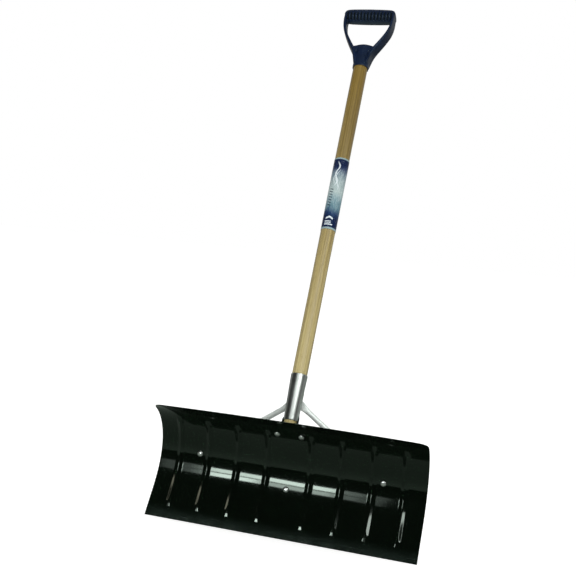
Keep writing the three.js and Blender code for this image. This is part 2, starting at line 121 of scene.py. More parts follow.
def rings(name, loops, angle=38, ends="cap", shaft=True, place=None):
    """solid through closed loops (k, n, 3). ends: cap, or wrap (last loop joins the first)"""
    loops = np.asarray(loops, float)
    if place is not None:
        loops = place(loops)
    k, n = loops.shape[:2]
    v = loops.reshape(-1, 3)
    f = []
    for j in range(k if ends == "wrap" else k - 1):
        j2 = (j + 1) % k
        for i in range(n):
            i2 = (i + 1) % n
            f.append((j * n + i, j * n + i2, j2 * n + i2, j2 * n + i))
    if ends == "cap":
        v = np.concatenate([v, loops[0].mean(0)[None], loops[-1].mean(0)[None]])
        c0, c1 = k * n, k * n + 1
        for i in range(n):
            i2 = (i + 1) % n
            f.append((c0, i2, i))
            f.append((c1, (k - 1) * n + i, (k - 1) * n + i2))
    return make(name, v, f, angle, shaft)


def circle(r, z, n=48, twist=0.0):
    a = np.arange(n) / n * 2 * np.pi + twist
    return np.stack([r * np.cos(a), r * np.sin(a), np.full(n, float(z))], -1)


def apply_modifiers(o):
    dg = bpy.context.evaluated_depsgraph_get()
    me = bpy.data.meshes.new_from_object(o.evaluated_get(dg), depsgraph=dg)
    o.modifiers.clear()
    old = o.data
    o.data = me
    bpy.data.meshes.remove(old)
    return o


def boolean(o, other, op):
    m = o.modifiers.new("b", "BOOLEAN")
    m.operation, m.object, m.solver = op, other, "EXACT"
    bpy.context.view_layer.update()
    apply_modifiers(o)
    bpy.data.objects.remove(other)
    return o


def finish_normals(o, angle=38):
    o.data.shade_smooth()
    o.data.set_sharp_from_angle(angle=math.radians(angle))


# ------------------------------------------------------------------ blade profile
BLADE_W, ARC, CROWN = 610.0, 305.2, 3.1
KAPPA = [0.00378, -0.0018, -0.00685, -0.00909, -0.00954, -0.00974]
STEPS = 1200
_c = np.zeros((STEPS + 1, 3))
_y = _z = 0.0
_t = EDGE_ANGLE
_ds = ARC / STEPS
for _i in range(STEPS + 1):
    _c[_i] = (_y, _z, _t)
    _u = (_i + 0.5) / STEPS * (len(KAPPA) - 1)
    _k = min(int(_u), len(KAPPA) - 2)
    _kap = lerp(KAPPA[_k], KAPPA[_k + 1], _u - _k)
    _m = _t + _kap * _ds / 2
    _y += math.sin(_m) * _ds
    _z += math.cos(_m) * _ds
    _t += _kap * _ds
CHORD = np.array([_c[-1, 0], _c[-1, 1]]) / math.hypot(_c[-1, 0], _c[-1, 1])
RIBS = [s * x for x in (257, 188.5, 119, 49.5) for s in (-1, 1)]


def profile(s):
    u = np.clip(s, 0, 1) * STEPS
    k = np.arange(STEPS + 1)
    return np.interp(u, k, _c[:, 0]), np.interp(u, k, _c[:, 1]), np.interp(u, k, _c[:, 2])


def on_sheet(x, s, back):
    """point at X and arc share s, back mm behind the front face"""
    x, s, back = np.broadcast_arrays(np.asarray(x, float), np.asarray(s, float), np.asarray(back, float))
    y, z, th = profile(s)
    f = np.maximum(0, (s - 0.5) / 0.5) ** 2 * CROWN * (1 - (2 * x / BLADE_W) ** 2)
    return np.stack([x, y + np.cos(th) * back + CHORD[0] * f, z - np.sin(th) * back + CHORD[1] * f], -1)


def at_sheet(points, x, s, spin=0.0):
    """local points with Z along the sheet's back normal, placed at X, s"""
    th = float(profile(np.array(s))[2])
    p = on_sheet(x, s, 0.0)
    pts = np.asarray(points, float)
    if spin:
        c, n = math.cos(spin), math.sin(spin)
        pts = np.stack([pts[..., 0] * c - pts[..., 1] * n, pts[..., 0] * n + pts[..., 1] * c, pts[..., 2]], -1)
    Z = np.array([0, math.cos(th), -math.sin(th)])
    X = np.array([1.0, 0, 0])
    Y = np.cross(Z, X)
    return p + pts[..., :1] * X + pts[..., 1:2] * Y + pts[..., 2:3] * Z


# ------------------------------------------------------------------ materials
def nodes_of(mat):
    mat.use_nodes = True
    nt = mat.node_tree
    nt.nodes.clear()
    out = nt.nodes.new("ShaderNodeOutputMaterial")
    p = nt.nodes.new("ShaderNodeBsdfPrincipled")
    nt.links.new(p.outputs[0], out.inputs[0])
    return nt, p


class Tree:
    """short spelling for procedural node trees"""

    def __init__(self, name):
        self.mat = bpy.data.materials.new(name)
        self.nt, self.p = nodes_of(self.mat)
        tc = self.nt.nodes.new("ShaderNodeTexCoord")
        mp = self.nt.nodes.new("ShaderNodeMapping")
        mp.inputs["Rotation"].default_value = (LEAN, 0, 0)
        self.nt.links.new(tc.outputs["Object"], mp.inputs[0])
        self.co = mp.outputs[0]  # shaft frame, metres

    def new(self, kind, **inputs):
        n = self.nt.nodes.new(kind)
        for k, v in inputs.items():
            key = k.replace("_", " ")
            if key in n.inputs:
                self.put(n.inputs[key], v)
            else:
                setattr(n, k, v)
        return n

    def put(self, socket, v):
        if isinstance(v, bpy.types.NodeSocket):
            self.nt.links.new(v, socket)
        else:
            socket.default_value = v

    def scaled(self, sx, sy, sz, off=(0, 0, 0)):
        m = self.new("ShaderNodeMapping")
        self.put(m.inputs["Vector"], self.co)
        m.inputs["Scale"].default_value = (sx, sy, sz)
        m.inputs["Location"].default_value = off
        return m.outputs[0]

    def noise(self, vec, scale=1.0, detail=4.0, rough=0.55, distortion=0.0):
        n = self.new("ShaderNodeTexNoise")
        self.put(n.inputs["Vector"], vec)
        n.inputs["Scale"].default_value = scale
        n.inputs["Detail"].default_value = detail
        n.inputs["Roughness"].default_value = rough
        n.inputs["Distortion"].default_value = distortion
        return n.outputs["Fac"]

    def ramp(self, fac, stops, interp="LINEAR"):
        n = self.new("ShaderNodeValToRGB")
        cr = n.color_ramp
        cr.interpolation = interp
        while len(cr.elements) > 1:
            cr.elements.remove(cr.elements[-1])
        for i, (pos, col) in enumerate(stops):
            e = cr.elements[0] if i == 0 else cr.elements.new(pos)
            e.position = pos
            c = col if isinstance(col, (tuple, list)) else (col, col, col)
            e.color = (*c[:3], 1)
        self.put(n.inputs[0], fac)
        return n.outputs[0]

    def math(self, op, a, b=0.0, clamp=False):
        n = self.new("ShaderNodeMath")
        n.operation = op
        n.use_clamp = clamp
        self.put(n.inputs[0], a)
        self.put(n.inputs[1], b)
        return n.outputs[0]

    def mix(self, fac, a, b, mode="MIX"):
        n = self.new("ShaderNodeMix")
        n.data_type = "RGBA"
        n.blend_type = mode
        self.put(n.inputs["Factor"], fac)
        ins = [s for s in n.inputs if s.type == "RGBA"]
        for s, v in zip(ins, (a, b)):
            if isinstance(v, bpy.types.NodeSocket):
                self.nt.links.new(v, s)
            else:
                s.default_value = (*v[:3], 1)
        return [s for s in n.outputs if s.type == "RGBA"][0]

    def split(self, vec):
        n = self.new("ShaderNodeSeparateXYZ")
        self.put(n.inputs[0], vec)
        return n.outputs

    def remap(self, v, a, b, c, d, kind="LINEAR"):
        n = self.new("ShaderNodeMapRange")
        n.interpolation_type = kind
        self.put(n.inputs[0], v)
        for i, q in enumerate((a, b, c, d)):
            n.inputs[1 + i].default_value = q
        return n.outputs[0]

    def bump(self, height, distance, strength=1.0, chain=None):
        n = self.new("ShaderNodeBump")
        self.put(n.inputs["Height"], height)
        n.inputs["Distance"].default_value = distance
        n.inputs["Strength"].default_value = strength
        if chain is not None:
            self.put(n.inputs["Normal"], chain)
        return n.outputs[0]

    def set(self, **kw):
        for k, v in kw.items():
            self.put(self.p.inputs[k.replace("_", " ")], v)
        return self.mat


def paint_material(name, base, dust, rough_lo, rough_hi, peel=0.00004, edge_reflection_and_scuffs=False):
    t = Tree(name)
    big = t.noise(t.scaled(9, 9, 9), detail=5, rough=0.6)
    fine = t.noise(t.scaled(160, 160, 160), detail=3, rough=0.6)
    speck = t.noise(t.scaled(900, 900, 900), detail=2, rough=0.5)
    colour = t.mix(t.remap(big, 0.35, 0.75, 0.0, 1.0), base, dust)
    colour = t.mix(t.remap(speck, 0.66, 0.78, 0.0, 0.35), colour, (0.05, 0.06, 0.055))
    rough = t.math("ADD", t.remap(big, 0.3, 0.75, rough_lo, rough_hi), t.remap(fine, 0.3, 0.8, 0.0, 0.03))
    if edge_reflection_and_scuffs:
        # painted reflection: a lighter, cloudy strip along the cutting edge, with lighter scratch streaks in it as
        # scuffs
        x, y, z = t.split(t.co)
        cloud = t.noise(t.scaled(38, 38, 60, (1, 2, 3)), detail=4, rough=0.6)
        scratch = t.noise(t.scaled(26, 400, 400, (5, 1, 1)), detail=3, rough=0.6)
        painted_edge_reflection = t.math("MULTIPLY", t.remap(z, 0.006, 0.030, 1.0, 0.0, "SMOOTHSTEP"), t.remap(cloud, 0.30, 0.62, 0.35, 1.0))
        # painted reflection: the strip is coloured lighter than the enamel
        colour = t.mix(painted_edge_reflection, colour, (0.0062, 0.0105, 0.0080))
        colour = t.mix(t.math("MULTIPLY", painted_edge_reflection, t.remap(scratch, 0.60, 0.72, 0.0, 0.5)), colour, (0.03, 0.036, 0.032))
        rough = t.math("ADD", rough, t.math("MULTIPLY", painted_edge_reflection, 0.12))
    b = t.bump(fine, peel, 0.35)
    b = t.bump(speck, 0.00001, 0.2, b)
    return t.set(Base_Color=colour, Roughness=rough, Normal=b, IOR=1.47, Specular_Tint=(0.86, 1.0, 0.90, 1))


def wood_material():
    t = Tree("ash_wood")
    warp = t.noise(t.scaled(26, 26, 1.6), detail=3, rough=0.5)
    x, y, z = t.split(t.co)
    # growth rings: distance from a pith line that runs beside the pole and wanders along it
    wander = t.remap(t.noise(t.scaled(0.0, 0.0, 2.1, (3, 1, 0)), detail=2), 0, 1, -0.004, 0.004)
    wander2 = t.remap(t.noise(t.scaled(0.0, 0.0, 1.3, (7, 4, 2)), detail=2), 0, 1, -0.005, 0.005)
    dx = t.math("ADD", t.math("ADD", x, 0.019), wander)
    dy = t.math("ADD", t.math("ADD", y, 0.0997), wander2)
    rad = t.math("SQRT", t.math("ADD", t.math("MULTIPLY", dx, dx), t.math("MULTIPLY", dy, dy)))
    phase = t.math("ADD", t.math("MULTIPLY", rad, 330.0), t.math("MULTIPLY", warp, 1.9))
    saw = t.math("FRACT", phase)
    ring = t.ramp(saw, [(0.0, 0.25), (0.1, 0.05), (0.35, 0.35), (0.8, 0.95), (0.93, 0.55), (1.0, 0.25)])
    fibre = t.noise(t.scaled(520, 520, 7), detail=5, rough=0.65)
    fine = t.noise(t.scaled(1700, 1700, 30), detail=3, rough=0.6)
    pores = t.ramp(t.noise(t.scaled(1500, 1500, 48, (2, 5, 1)), detail=2, rough=0.5), [(0.0, 1.0), (0.33, 1.0), (0.40, 0.0), (1.0, 0.0)])
    streak = t.noise(t.scaled(230, 230, 1.9, (1, 9, 4)), detail=3, rough=0.55)
    patch = t.noise(t.scaled(16, 16, 3.0, (5, 2, 8)), detail=3, rough=0.5)
    # painted light: browner towards the grip, paler and greyer towards the ferrule, standing in for the light and
    # varnish sheen that fall more on the lower pole
    up = t.remap(z, 0.36, 1.1, 0.0, 1.0)
    light = t.mix(up, (0.42, 0.360, 0.180), (0.180, 0.118, 0.024))
    mid = t.mix(up, (0.28, 0.225, 0.088), (0.126, 0.082, 0.013))
    dark = t.mix(up, (0.120, 0.085, 0.028), (0.062, 0.038, 0.008))
    c = t.mix(ring, mid, light)
    c = t.mix(t.remap(streak, 0.44, 0.66, 0.0, 0.85), c, dark)
    c = t.mix(t.remap(streak, 0.43, 0.30, 0.0, 0.55), c, light)
    c = t.mix(t.remap(fibre, 0.35, 0.75, 0.0, 0.55), c, mid)
    c = t.mix(t.remap(fine, 0.4, 0.8, 0.0, 0.35), c, light)
    c = t.mix(t.math("MULTIPLY", pores, 0.6), c, dark)
    c = t.mix(t.remap(patch, 0.45, 0.75, 0.0, 0.35), c, dark)
    rough = t.remap(fibre, 0.3, 0.8, 0.34, 0.52)
    b = t.bump(fibre, 0.00018, 0.35)
    b = t.bump(pores, 0.00012, -0.35, b)
    return t.set(Base_Color=c, Roughness=rough, Normal=b, Coat_Weight=0.3, Coat_Roughness=0.3, Specular_IOR_Level=0.35)


def plastic_material():
    t = Tree("navy_plastic")
    big = t.noise(t.scaled(30, 30, 30), detail=4)
    grain = t.noise(t.scaled(1500, 1500, 1500), detail=2, rough=0.6)
    c = t.mix(t.remap(big, 0.35, 0.7, 0, 1), (0.0016, 0.0050, 0.019), (0.003, 0.008, 0.028))
    c = t.mix(t.remap(grain, 0.6, 0.8, 0.0, 0.4), c, (0.012, 0.018, 0.035))
    rough = t.remap(t.noise(t.scaled(70, 70, 70, (4, 4, 4)), detail=4), 0.3, 0.75, 0.36, 0.52)
    b = t.bump(grain, 0.00006, 0.45)
    # painted shade: the pressed finger grooves are darkened in the base colour, with the roughness raised in them
    gx, gy, gz = t.split(t.co)
    gu = t.math("ABSOLUTE", t.math("SUBTRACT", t.math("FRACT", t.math("ADD", t.math("DIVIDE", gx, 0.00857), 20.0)), 0.5))
    ga = t.math("ARCTAN2", t.math("SUBTRACT", gz, 1.3025), t.math("MULTIPLY", t.math("SUBTRACT", gy, -0.0597 - FOOT * 0.0005 * CL), -1.0))
    groove_shade_mask = t.math("MULTIPLY", t.remap(gu, 0.16, 0.27, 1.0, 0.0), t.remap(t.math("ABSOLUTE", gx), 0.0585, 0.060, 1.0, 0.0))
    groove_shade_mask = t.math("MULTIPLY", groove_shade_mask, t.math("MULTIPLY", t.remap(ga, -1.13, -1.0, 0.0, 1.0), t.remap(ga, 0.02, 0.2, 1.0, 0.0)))
    groove_shade_mask = t.math("MULTIPLY", groove_shade_mask, t.remap(gz, 1.276, 1.280, 0.0, 1.0))
    # painted shade: the base colour goes almost black inside the grooves
    c = t.mix(t.math("MULTIPLY", groove_shade_mask, 0.9), c, (0.0004, 0.0008, 0.0012))
    rough = t.math("ADD", rough, t.math("MULTIPLY", groove_shade_mask, 0.45))
    # parting line of the mould round the middle of the grip
    x, y, z = t.split(t.co)
    line = t.math("ABSOLUTE", t.math("SUBTRACT", y, -0.05966 - FOOT * 0.0005 * CL))
    ridge = t.remap(line, 0.0001, 0.0006, 1.0, 0.0, "SMOOTHSTEP")
    b = t.bump(ridge, 0.00022, 0.8, b)
    return t.set(Base_Color=c, Roughness=rough, Normal=b, IOR=1.5, Specular_Tint=(0.78, 1.0, 0.96, 1))


def galvanised_material(name="galvanised", tint=(0.62, 0.65, 0.64), along=(700, 700, 6), rough=(0.27, 0.40), metal=1.0):
    t = Tree(name)
    drawn = t.noise(t.scaled(*along), detail=4, rough=0.65)
    v = t.new("ShaderNodeTexVoronoi")
    t.put(v.inputs["Vector"], t.scaled(150, 150, 90))
    v.inputs["Scale"].default_value = 1.0
    sx, sy, sz = t.split(v.outputs["Color"])
    mott = t.noise(t.scaled(60, 60, 40, (3, 3, 3)), detail=5, rough=0.6)
    c = t.mix(t.remap(sx, 0, 1, 0.0, 0.35), tint, (0.80, 0.83, 0.83))
    c = t.mix(t.remap(mott, 0.45, 0.75, 0.0, 0.45), c, (0.42, 0.45, 0.44))
    c = t.mix(t.remap(drawn, 0.55, 0.8, 0.0, 0.4), c, (0.36, 0.38, 0.37))
    r = t.math("ADD", t.remap(drawn, 0.25, 0.75, rough[0], rough[1]), t.remap(sy, 0, 1, -0.03, 0.05))
    b = t.bump(drawn, 0.00004, 0.3)
    return t.set(Base_Color=c, Metallic=metal, Roughness=r, Normal=b)


def zinc_material():
    t = Tree("zinc_plate")
    n = t.noise(t.scaled(500, 500, 500), detail=4, rough=0.6)
    m = t.noise(t.scaled(120, 120, 120, (2, 2, 2)), detail=3)
    c = t.mix(t.remap(n, 0.35, 0.75, 0, 1), (0.74, 0.77, 0.76), (0.5, 0.52, 0.5))
    c = t.mix(t.remap(m, 0.5, 0.75, 0, 0.5), c, (0.62, 0.6, 0.5))
    r = t.remap(n, 0.3, 0.75, 0.2, 0.38)
    return t.set(Base_Color=c, Metallic=1.0, Roughness=r, Normal=t.bump(n, 0.00004, 0.3))


def end_grain_material():
    t = Tree("ash_end_grain")
    x, y, z = t.split(t.co)
    dx = t.math("ADD", x, 0.012)
    dy = t.math("ADD", y, 0.095)
    rad = t.math("SQRT", t.math("ADD", t.math("MULTIPLY", dx, dx), t.math("MULTIPLY", dy, dy)))
    saw = t.math("FRACT", t.math("MULTIPLY", rad, 420.0))
    c = t.mix(t.ramp(saw, [(0, 0), (0.7, 1), (1, 0)]), (0.2, 0.12, 0.05), (0.38, 0.28, 0.14))
    n = t.noise(t.scaled(1800, 1800, 1800), detail=3)
    return t.set(Base_Color=c, Roughness=0.8, Normal=t.bump(n, 0.0002, 0.5))


LABEL = (697.0, 884.0)


def label_material():
    t = Tree("printed_film")
    x, y, z = t.split(t.co)
    ax = t.math("SUBTRACT", y, -0.0597 - FOOT * 0.0005 * CL)
    ang = t.new("ShaderNodeMath")
    ang.operation = "ARCTAN2"
    t.put(ang.inputs[0], x)
    t.put(ang.inputs[1], t.math("MULTIPLY", ax, -1.0))  # 0 at the front, + towards +X
    a = ang.outputs[0]
    v = t.remap(z, (LABEL[0] - 0) / 1000.0, LABEL[1] / 1000.0, 0.0, 1.0)
    # a soft sky: navy at both ends, pale in the middle, teal below it
    cloud = t.noise(t.scaled(70, 70, 28), detail=5, rough=0.6, distortion=0.6)
    vv = t.math("ADD", v, t.remap(cloud, 0.2, 0.8, -0.05, 0.05))
    navy, blue, teal, pale = (0.0035, 0.0085, 0.036), (0.010, 0.026, 0.075), (0.070, 0.135, 0.165), (0.25, 0.31, 0.305)
    c = t.ramp(vv, [(0.0, navy), (0.15, navy), (0.22, blue), (0.30, teal), (0.42, (0.135, 0.205, 0.225)), (0.52, pale), (0.66, (0.20, 0.25, 0.255)), (0.77, (0.095, 0.135, 0.165)), (0.84, (0.012, 0.024, 0.066)), (0.89, navy), (1.0, navy)])
    # drifting, wind-like pale strands
    strands = t.noise(t.scaled(90, 90, 14, (0, 3, 0)), detail=4, rough=0.6, distortion=2.2)
    s = t.ramp(strands, [(0.0, 0.0), (0.46, 0.0), (0.5, 0.8), (0.54, 0.0), (1.0, 0.0)])
    c = t.mix(t.math("MULTIPLY", s, t.math("MULTIPLY", t.remap(v, 0.2, 0.4, 0.0, 0.55), t.remap(v, 0.88, 0.76, 0.0, 1.0))), c, (0.42, 0.46, 0.46))
    # snow specks
    vo = t.new("ShaderNodeTexVoronoi")
    t.put(vo.inputs["Vector"], t.scaled(260, 260, 260))
    dots = t.remap(vo.outputs["Distance"], 0.10, 0.2, 1.0, 0.0)
    rare = t.remap(t.noise(t.scaled(60, 60, 60, (8, 1, 2)), detail=2), 0.52, 0.6, 0.0, 1.0)
    c = t.mix(t.math("MULTIPLY", t.math("MULTIPLY", dots, rare), 0.8), c, (0.5, 0.54, 0.55))

    def box_mask(a0, a1, v0, v1, sa=0.02, sv=0.004):
        m = t.math("MULTIPLY", t.remap(a, a0 - sa, a0 + sa, 0, 1), t.remap(a, a1 - sa, a1 + sa, 1, 0))
        m = t.math("MULTIPLY", m, t.remap(v, v0 - sv, v0 + sv, 0, 1))
        return t.math("MULTIPLY", m, t.remap(v, v1 - sv, v1 + sv, 1, 0))

    # plain white bars and a chevron in the lower field, in place of any words or mark
    white, ink = (0.46, 0.51, 0.53), (0.012, 0.022, 0.035)
    for v0, v1, a0, a1 in ((0.052, 0.066, -0.5, 0.62), (0.078, 0.088, -0.5, 0.35), (0.098, 0.108, -0.5, 0.35)):
        c = t.mix(box_mask(a0, a1, v0, v1), c, white)
    va = t.math("ADD", v, t.math("MULTIPLY", t.math("ABSOLUTE", t.math("SUBTRACT", a, 0.05)), 0.045))
    chev = t.math("MULTIPLY", t.math("MULTIPLY", t.remap(va, 0.148, 0.152, 0, 1), t.remap(va, 0.172, 0.176, 1, 0)), t.math("MULTIPLY", t.remap(a, -0.45, -0.41, 0, 1), t.remap(a, 0.51, 0.55, 1, 0)))
    c = t.mix(chev, c, white)
    # a row of short slanted ticks, like falling snow, in dark ink on the pale field
    sl = t.math("ADD", v, t.math("MULTIPLY", a, 0.028))
    tick = t.math("FRACT", t.math("MULTIPLY", sl, 27.0))
    tm = t.math("MULTIPLY", t.remap(tick, 0.30, 0.36, 0, 1), t.remap(tick, 0.62, 0.68, 1, 0))
    tm = t.math("MULTIPLY", tm, box_mask(-0.62, -0.12, 0.30, 0.56, 0.05, 0.012))
    c = t.mix(t.math("MULTIPLY", tm, 0.95), c, ink)
    # three pale gusts curling across the upper field
    for k, (amp, freq, ph, off, lo, hi, wd) in enumerate(((0.20, 30.0, 0.6, -0.05, 0.58, 0.95, 0.085), (0.26, 21.0, 2.2, 0.15, 0.52, 0.84, 0.05), (0.16, 37.0, 4.0, -0.28, 0.60, 0.82, 0.045))):
        w = t.math("ADD", t.math("MULTIPLY", t.math("SINE", t.math("ADD", t.math("MULTIPLY", v, freq), ph)), amp), off)
        sw = t.math("ABSOLUTE", t.math("SUBTRACT", a, w))
        sm = t.math("MULTIPLY", t.remap(sw, wd * 0.4, wd * 1.5, 1, 0), t.math("MULTIPLY", t.remap(v, lo, lo + 0.06, 0, 1), t.remap(v, hi - 0.05, hi, 1, 0)))
        c = t.mix(t.math("MULTIPLY", sm, 0.95 if k == 0 else 0.85), c, white)
    # pale rims
    rim = t.math("ADD", t.remap(v, 0.020, 0.026, 1, 0), t.remap(v, 0.976, 0.982, 0, 1))
    c = t.mix(rim, c, (0.17, 0.235, 0.245))
    wr = t.noise(t.scaled(200, 200, 30, (6, 6, 6)), detail=3)
    return t.set(Base_Color=c, Roughness=t.remap(wr, 0.3, 0.7, 0.25, 0.42), Normal=t.bump(wr, 0.0001, 0.3), Specular_IOR_Level=0.2, Specular_Tint=(0.7, 0.95, 1.0, 1))


MAT = {
    "blade": paint_material("blade_enamel", (0.0008, 0.0020, 0.0009), (0.0013, 0.0028, 0.0015), 0.045, 0.075, edge_reflection_and_scuffs=True),
    "bracket": paint_material("bracket_paint", (0.0045, 0.006, 0.0052), (0.009, 0.011, 0.010), 0.25, 0.42, 0.00008),
    "wood": wood_material(),
    "end_grain": end_grain_material(),
    "plastic": plastic_material(),
    "ferrule": galvanised_material("galvanised", (0.66, 0.70, 0.67)),
    "tube": galvanised_material("galvanised_tube", (0.64, 0.69, 0.66), (400, 400, 400), (0.36, 0.5), 0.35),
    "zinc": zinc_material(),
    "label": label_material(),
}


def put(obj, node, mat):
    obj.data.materials.clear()
    obj.data.materials.append(MAT[mat])
    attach(obj, "root")
    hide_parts(*([node] if isinstance(node, str) else node))
    return obj


# ------------------------------------------------------------------ blade
RIB_SLOPE, RIB_W = math.tan(math.radians(26)), 9.6


def soft_min(a, b, k):
    h = np.clip(0.5 + 0.5 * (b - a) / k, 0, 1)
    return b * (1 - h) + a * h - k * h * (1 - h)


def rib_height(x, s):
    """pressed ribs like a hipped roof: flat flanks, rounded ridge and feet, sloping ends"""
    x, s = np.broadcast_arrays(np.asarray(x, float), np.asarray(s, float))
    low, high = (s - 0.084) * ARC, (0.806 - s) * ARC
    out = np.zeros(x.shape)
    for c in RIBS:
        d = np.abs(x - c)
        # flank: slope eases in at the foot and out at the ridge
        w = RIB_W - 4.6 * (1 - smooth(-2, 17, low)) - 3.0 * (1 - smooth(-2, 17, high))
        q = np.clip(w - d, 0, None)
        flank = np.where(q < 2.2, q * q / 4.4, q - 1.1)
        ridge = np.clip(1.7 - d, 0, None)
        flank = (flank - ridge * ridge / 3.4) * RIB_SLOPE
        ramp = lambda l, slope: np.where(l < 2.5, np.clip(l, 0, None) ** 2 / 5.0, l - 1.25) * math.tan(math.radians(slope))
        toe = ramp(low, 14.5) - np.where(low < 6.0, 0.0, np.where(low < 9.0, (low - 6.0) ** 2 / 6.0, low - 7.5)) * (math.tan(math.radians(14.5)) - math.tan(math.radians(8.0)))
        h = soft_min(soft_min(flank, toe, 0.5), ramp(high, 11.0), 0.8)
        fade = smooth(0, 1.2, low) * smooth(0, 1.2, high) * smooth(0, 0.6, q)
        out = np.maximum(out, np.clip(h, 0, None) * fade)
    return out


def build_blade():
    xs = {0.0, BLADE_W / 2, BLADE_W / 2 - 0.35, BLADE_W / 2 - 1.2, BLADE_W / 2 - 3, BLADE_W / 2 - 6, BLADE_W / 2 - 9, BLADE_W / 2 - 12.5, BLADE_W / 2 - 16, BLADE_W / 2 - 20, BLADE_W / 2 - 25, BLADE_W / 2 - 30, BLADE_W / 2 - 35}
    for c in (49.5, 119, 188.5, 257):
        for d in np.linspace(-10, 10, 31):
            xs.add(round(c + float(d), 3))
    for m0, m1 in ((0, 39.5), (59.5, 109), (129, 178.5), (198.5, 247), (267, 283)):
        for v in np.linspace(m0, m1, max(2, int((m1 - m0) / 5)))[1:-1]:
            xs.add(round(float(v), 3))
    xs = sorted(xs)
    xs = np.array([-v for v in reversed(xs) if v > 0] + xs)
    ss = {0.0, 1.0, 1 - 0.35 / ARC}
    for a, b, n in ((0.004, 0.082, 12), (0.082, 0.15, 34), (0.15, 0.74, 88), (0.74, 0.81, 30), (0.81, 0.88, 12), (0.88, 0.996, 44)):
        ss.update(round(float(v), 5) for v in np.linspace(a, b, n))
    ss = np.array(sorted(ss))
    X, S = np.meshgrid(xs, ss, indexing="ij")
    R = 34.0
    d = (1 - S) * ARC
    hw = np.where(d >= R, BLADE_W / 2, BLADE_W / 2 - R + np.sqrt(np.clip(R * R - (R - np.minimum(d, R)) ** 2, 0.02, None)))
    inner = BLADE_W / 2 - R - 3
    ax = np.abs(X)
    XX = np.where(ax > inner, np.sign(X) * (inner + (ax - inner) * (hw - inner) / (R + 3)), X)
    h = rib_height(XX, S)
    # the pressed sheet isn't perfectly true: very shallow waves between the ribs
    wave = 0.10 * np.sin(XX / 37.0 + 0.7) * np.sin(S * 9.0 + 0.4) + 0.06 * np.sin(XX / 91.0 - 1.1) * np.cos(S * 5.0)
    # both faces are rounded off at the cut edges
    edge = np.minimum.reduce([(hw - np.abs(XX)), d, np.where(S > 0.3, 9.0, S * ARC + 0.7)])
    rnd = 0.45 * (1 - smooth(0.0, 0.5, edge)) ** 2
    front = on_sheet(XX, S, -h + wave * smooth(0, 0.1, S) + rnd)
    back = on_sheet(XX, S, SHEET_T - h + wave * smooth(0, 0.1, S) - rnd)
    # flat underside of the cutting edge
    back[:, 0, 1] = front[:, 0, 1] + FOOT * CL
    back[:, 0, 2] = front[:, 0, 2] + FOOT * SL
    front[:, 0, 1], front[:, 0, 2] = 0, 0
    back[:, 0, 1], back[:, 0, 2] = FOOT * CL, FOOT * SL
    return shell("blade_sheet", front, back, 42)


put(build_blade(), "blade", "blade")

# ------------------------------------------------------------------ hardware
BOLTS = {
    "top_bolt_left": ("top_left", -27.4, 0.7685), "top_bolt_right": ("top_right", 27.4, 0.7685),
    "side_bolt_left": ("side_left", -210.2, 0.5064), "side_bolt_right": ("side_right", 210.2, 0.5064),
    "centre_bolt": ("centre", 0.0, 0.3548),
}
GAP, PLATE_T, WASHER_T, NUT_T = 0.35, 2.5, 1.2, 5.2
STACK = SHEET_T + GAP + PLATE_T


def thread(r, z0, z1, pitch=1.27, depth=0.32):
    """profile rows of a threaded end"""
    rows, z = [], z0
    while z + pitch < z1:
        rows += [(r - depth, z), (r, z + pitch * 0.45), (r, z + pitch * 0.55), (r - depth, z + pitch * 0.98)]
        z += pitch
    rows += [(r - depth, z1 - 0.6), (r - depth - 0.5, z1)]
    return rows


def bolt_loops(n=56):
    rows = [(0.4, -3.6), (1.4, -3.57), (2.5, -3.44), (3.5, -3.18), (4.4, -2.82), (5.2, -2.3), (5.85, -1.7), (6.3, -1.15), (6.55, -0.75), (6.58, -0.5), (6.3, -0.34), (3.6, -0.32)]
    loops = [circle(r, z, n) for r, z in rows]
    a = np.arange(n) / n * 2 * np.pi
    sq = 3.2 / np.maximum(np.abs(np.cos(a)), np.abs(np.sin(a)))
    for z in (-0.3, 1.5):
        loops.append(np.stack([sq * np.cos(a), sq * np.sin(a), np.full(n, z)], -1))
    loops += [circle(3.1, 1.6, n), circle(3.1, STACK, n)]
    loops += [circle(r, z, n) for r, z in thread(3.12, STACK + 1.6, 15.0)]
    return np.array(loops)


def hex_radius(n, af, twist=0.0):
    a = np.arange(n) / n * 2 * np.pi
    return af / 2 / np.cos((a - twist + np.pi / 6) % (np.pi / 3) - np.pi / 6), a


def nut_loops(z0, af=11.1, t=5.2, hole=3.25, n=72, twist=0.0, solid=False, flange=None):
    R, a = hex_radius(n, af, twist)
    rc = af / 2 * 0.97
    ch = np.maximum(0, R - rc) * 0.55
    ring = lambda r, z: np.stack([r * np.cos(a), r * np.sin(a), np.broadcast_to(z, a.shape)], -1)
    loops = []
    if not solid:
        loops += [ring(hole, z0 + 0.5), ring(hole + 0.45, z0)]
    loops += [ring(rc, z0), ring(R, z0 + ch), ring(R, z0 + t * 0.5), ring(R, z0 + t - ch), ring(rc, z0 + t)]
    if solid:
        loops += [ring(rc * 0.7, z0 + t), ring(rc * 0.6, z0 + t - 0.25), ring(0.3, z0 + t - 0.3)]
        loops = [ring(0.3, z0)] + loops
    else:
        loops += [ring(hole + 0.45, z0 + t), ring(hole, z0 + t - 0.5)]
    return np.array(loops)


def washer_loops(z0, r0=3.5, r1=8.0, t=1.2, n=56):
    return np.array([circle(r, z, n) for r, z in ((r0, z0 + 0.15), (r0 + 0.15, z0), (r1 - 0.25, z0), (r1, z0 + 0.25), (r1, z0 + t - 0.35), (r1 - 0.35, z0 + t), (r0 + 0.15, z0 + t), (r0, z0 + t - 0.15))])


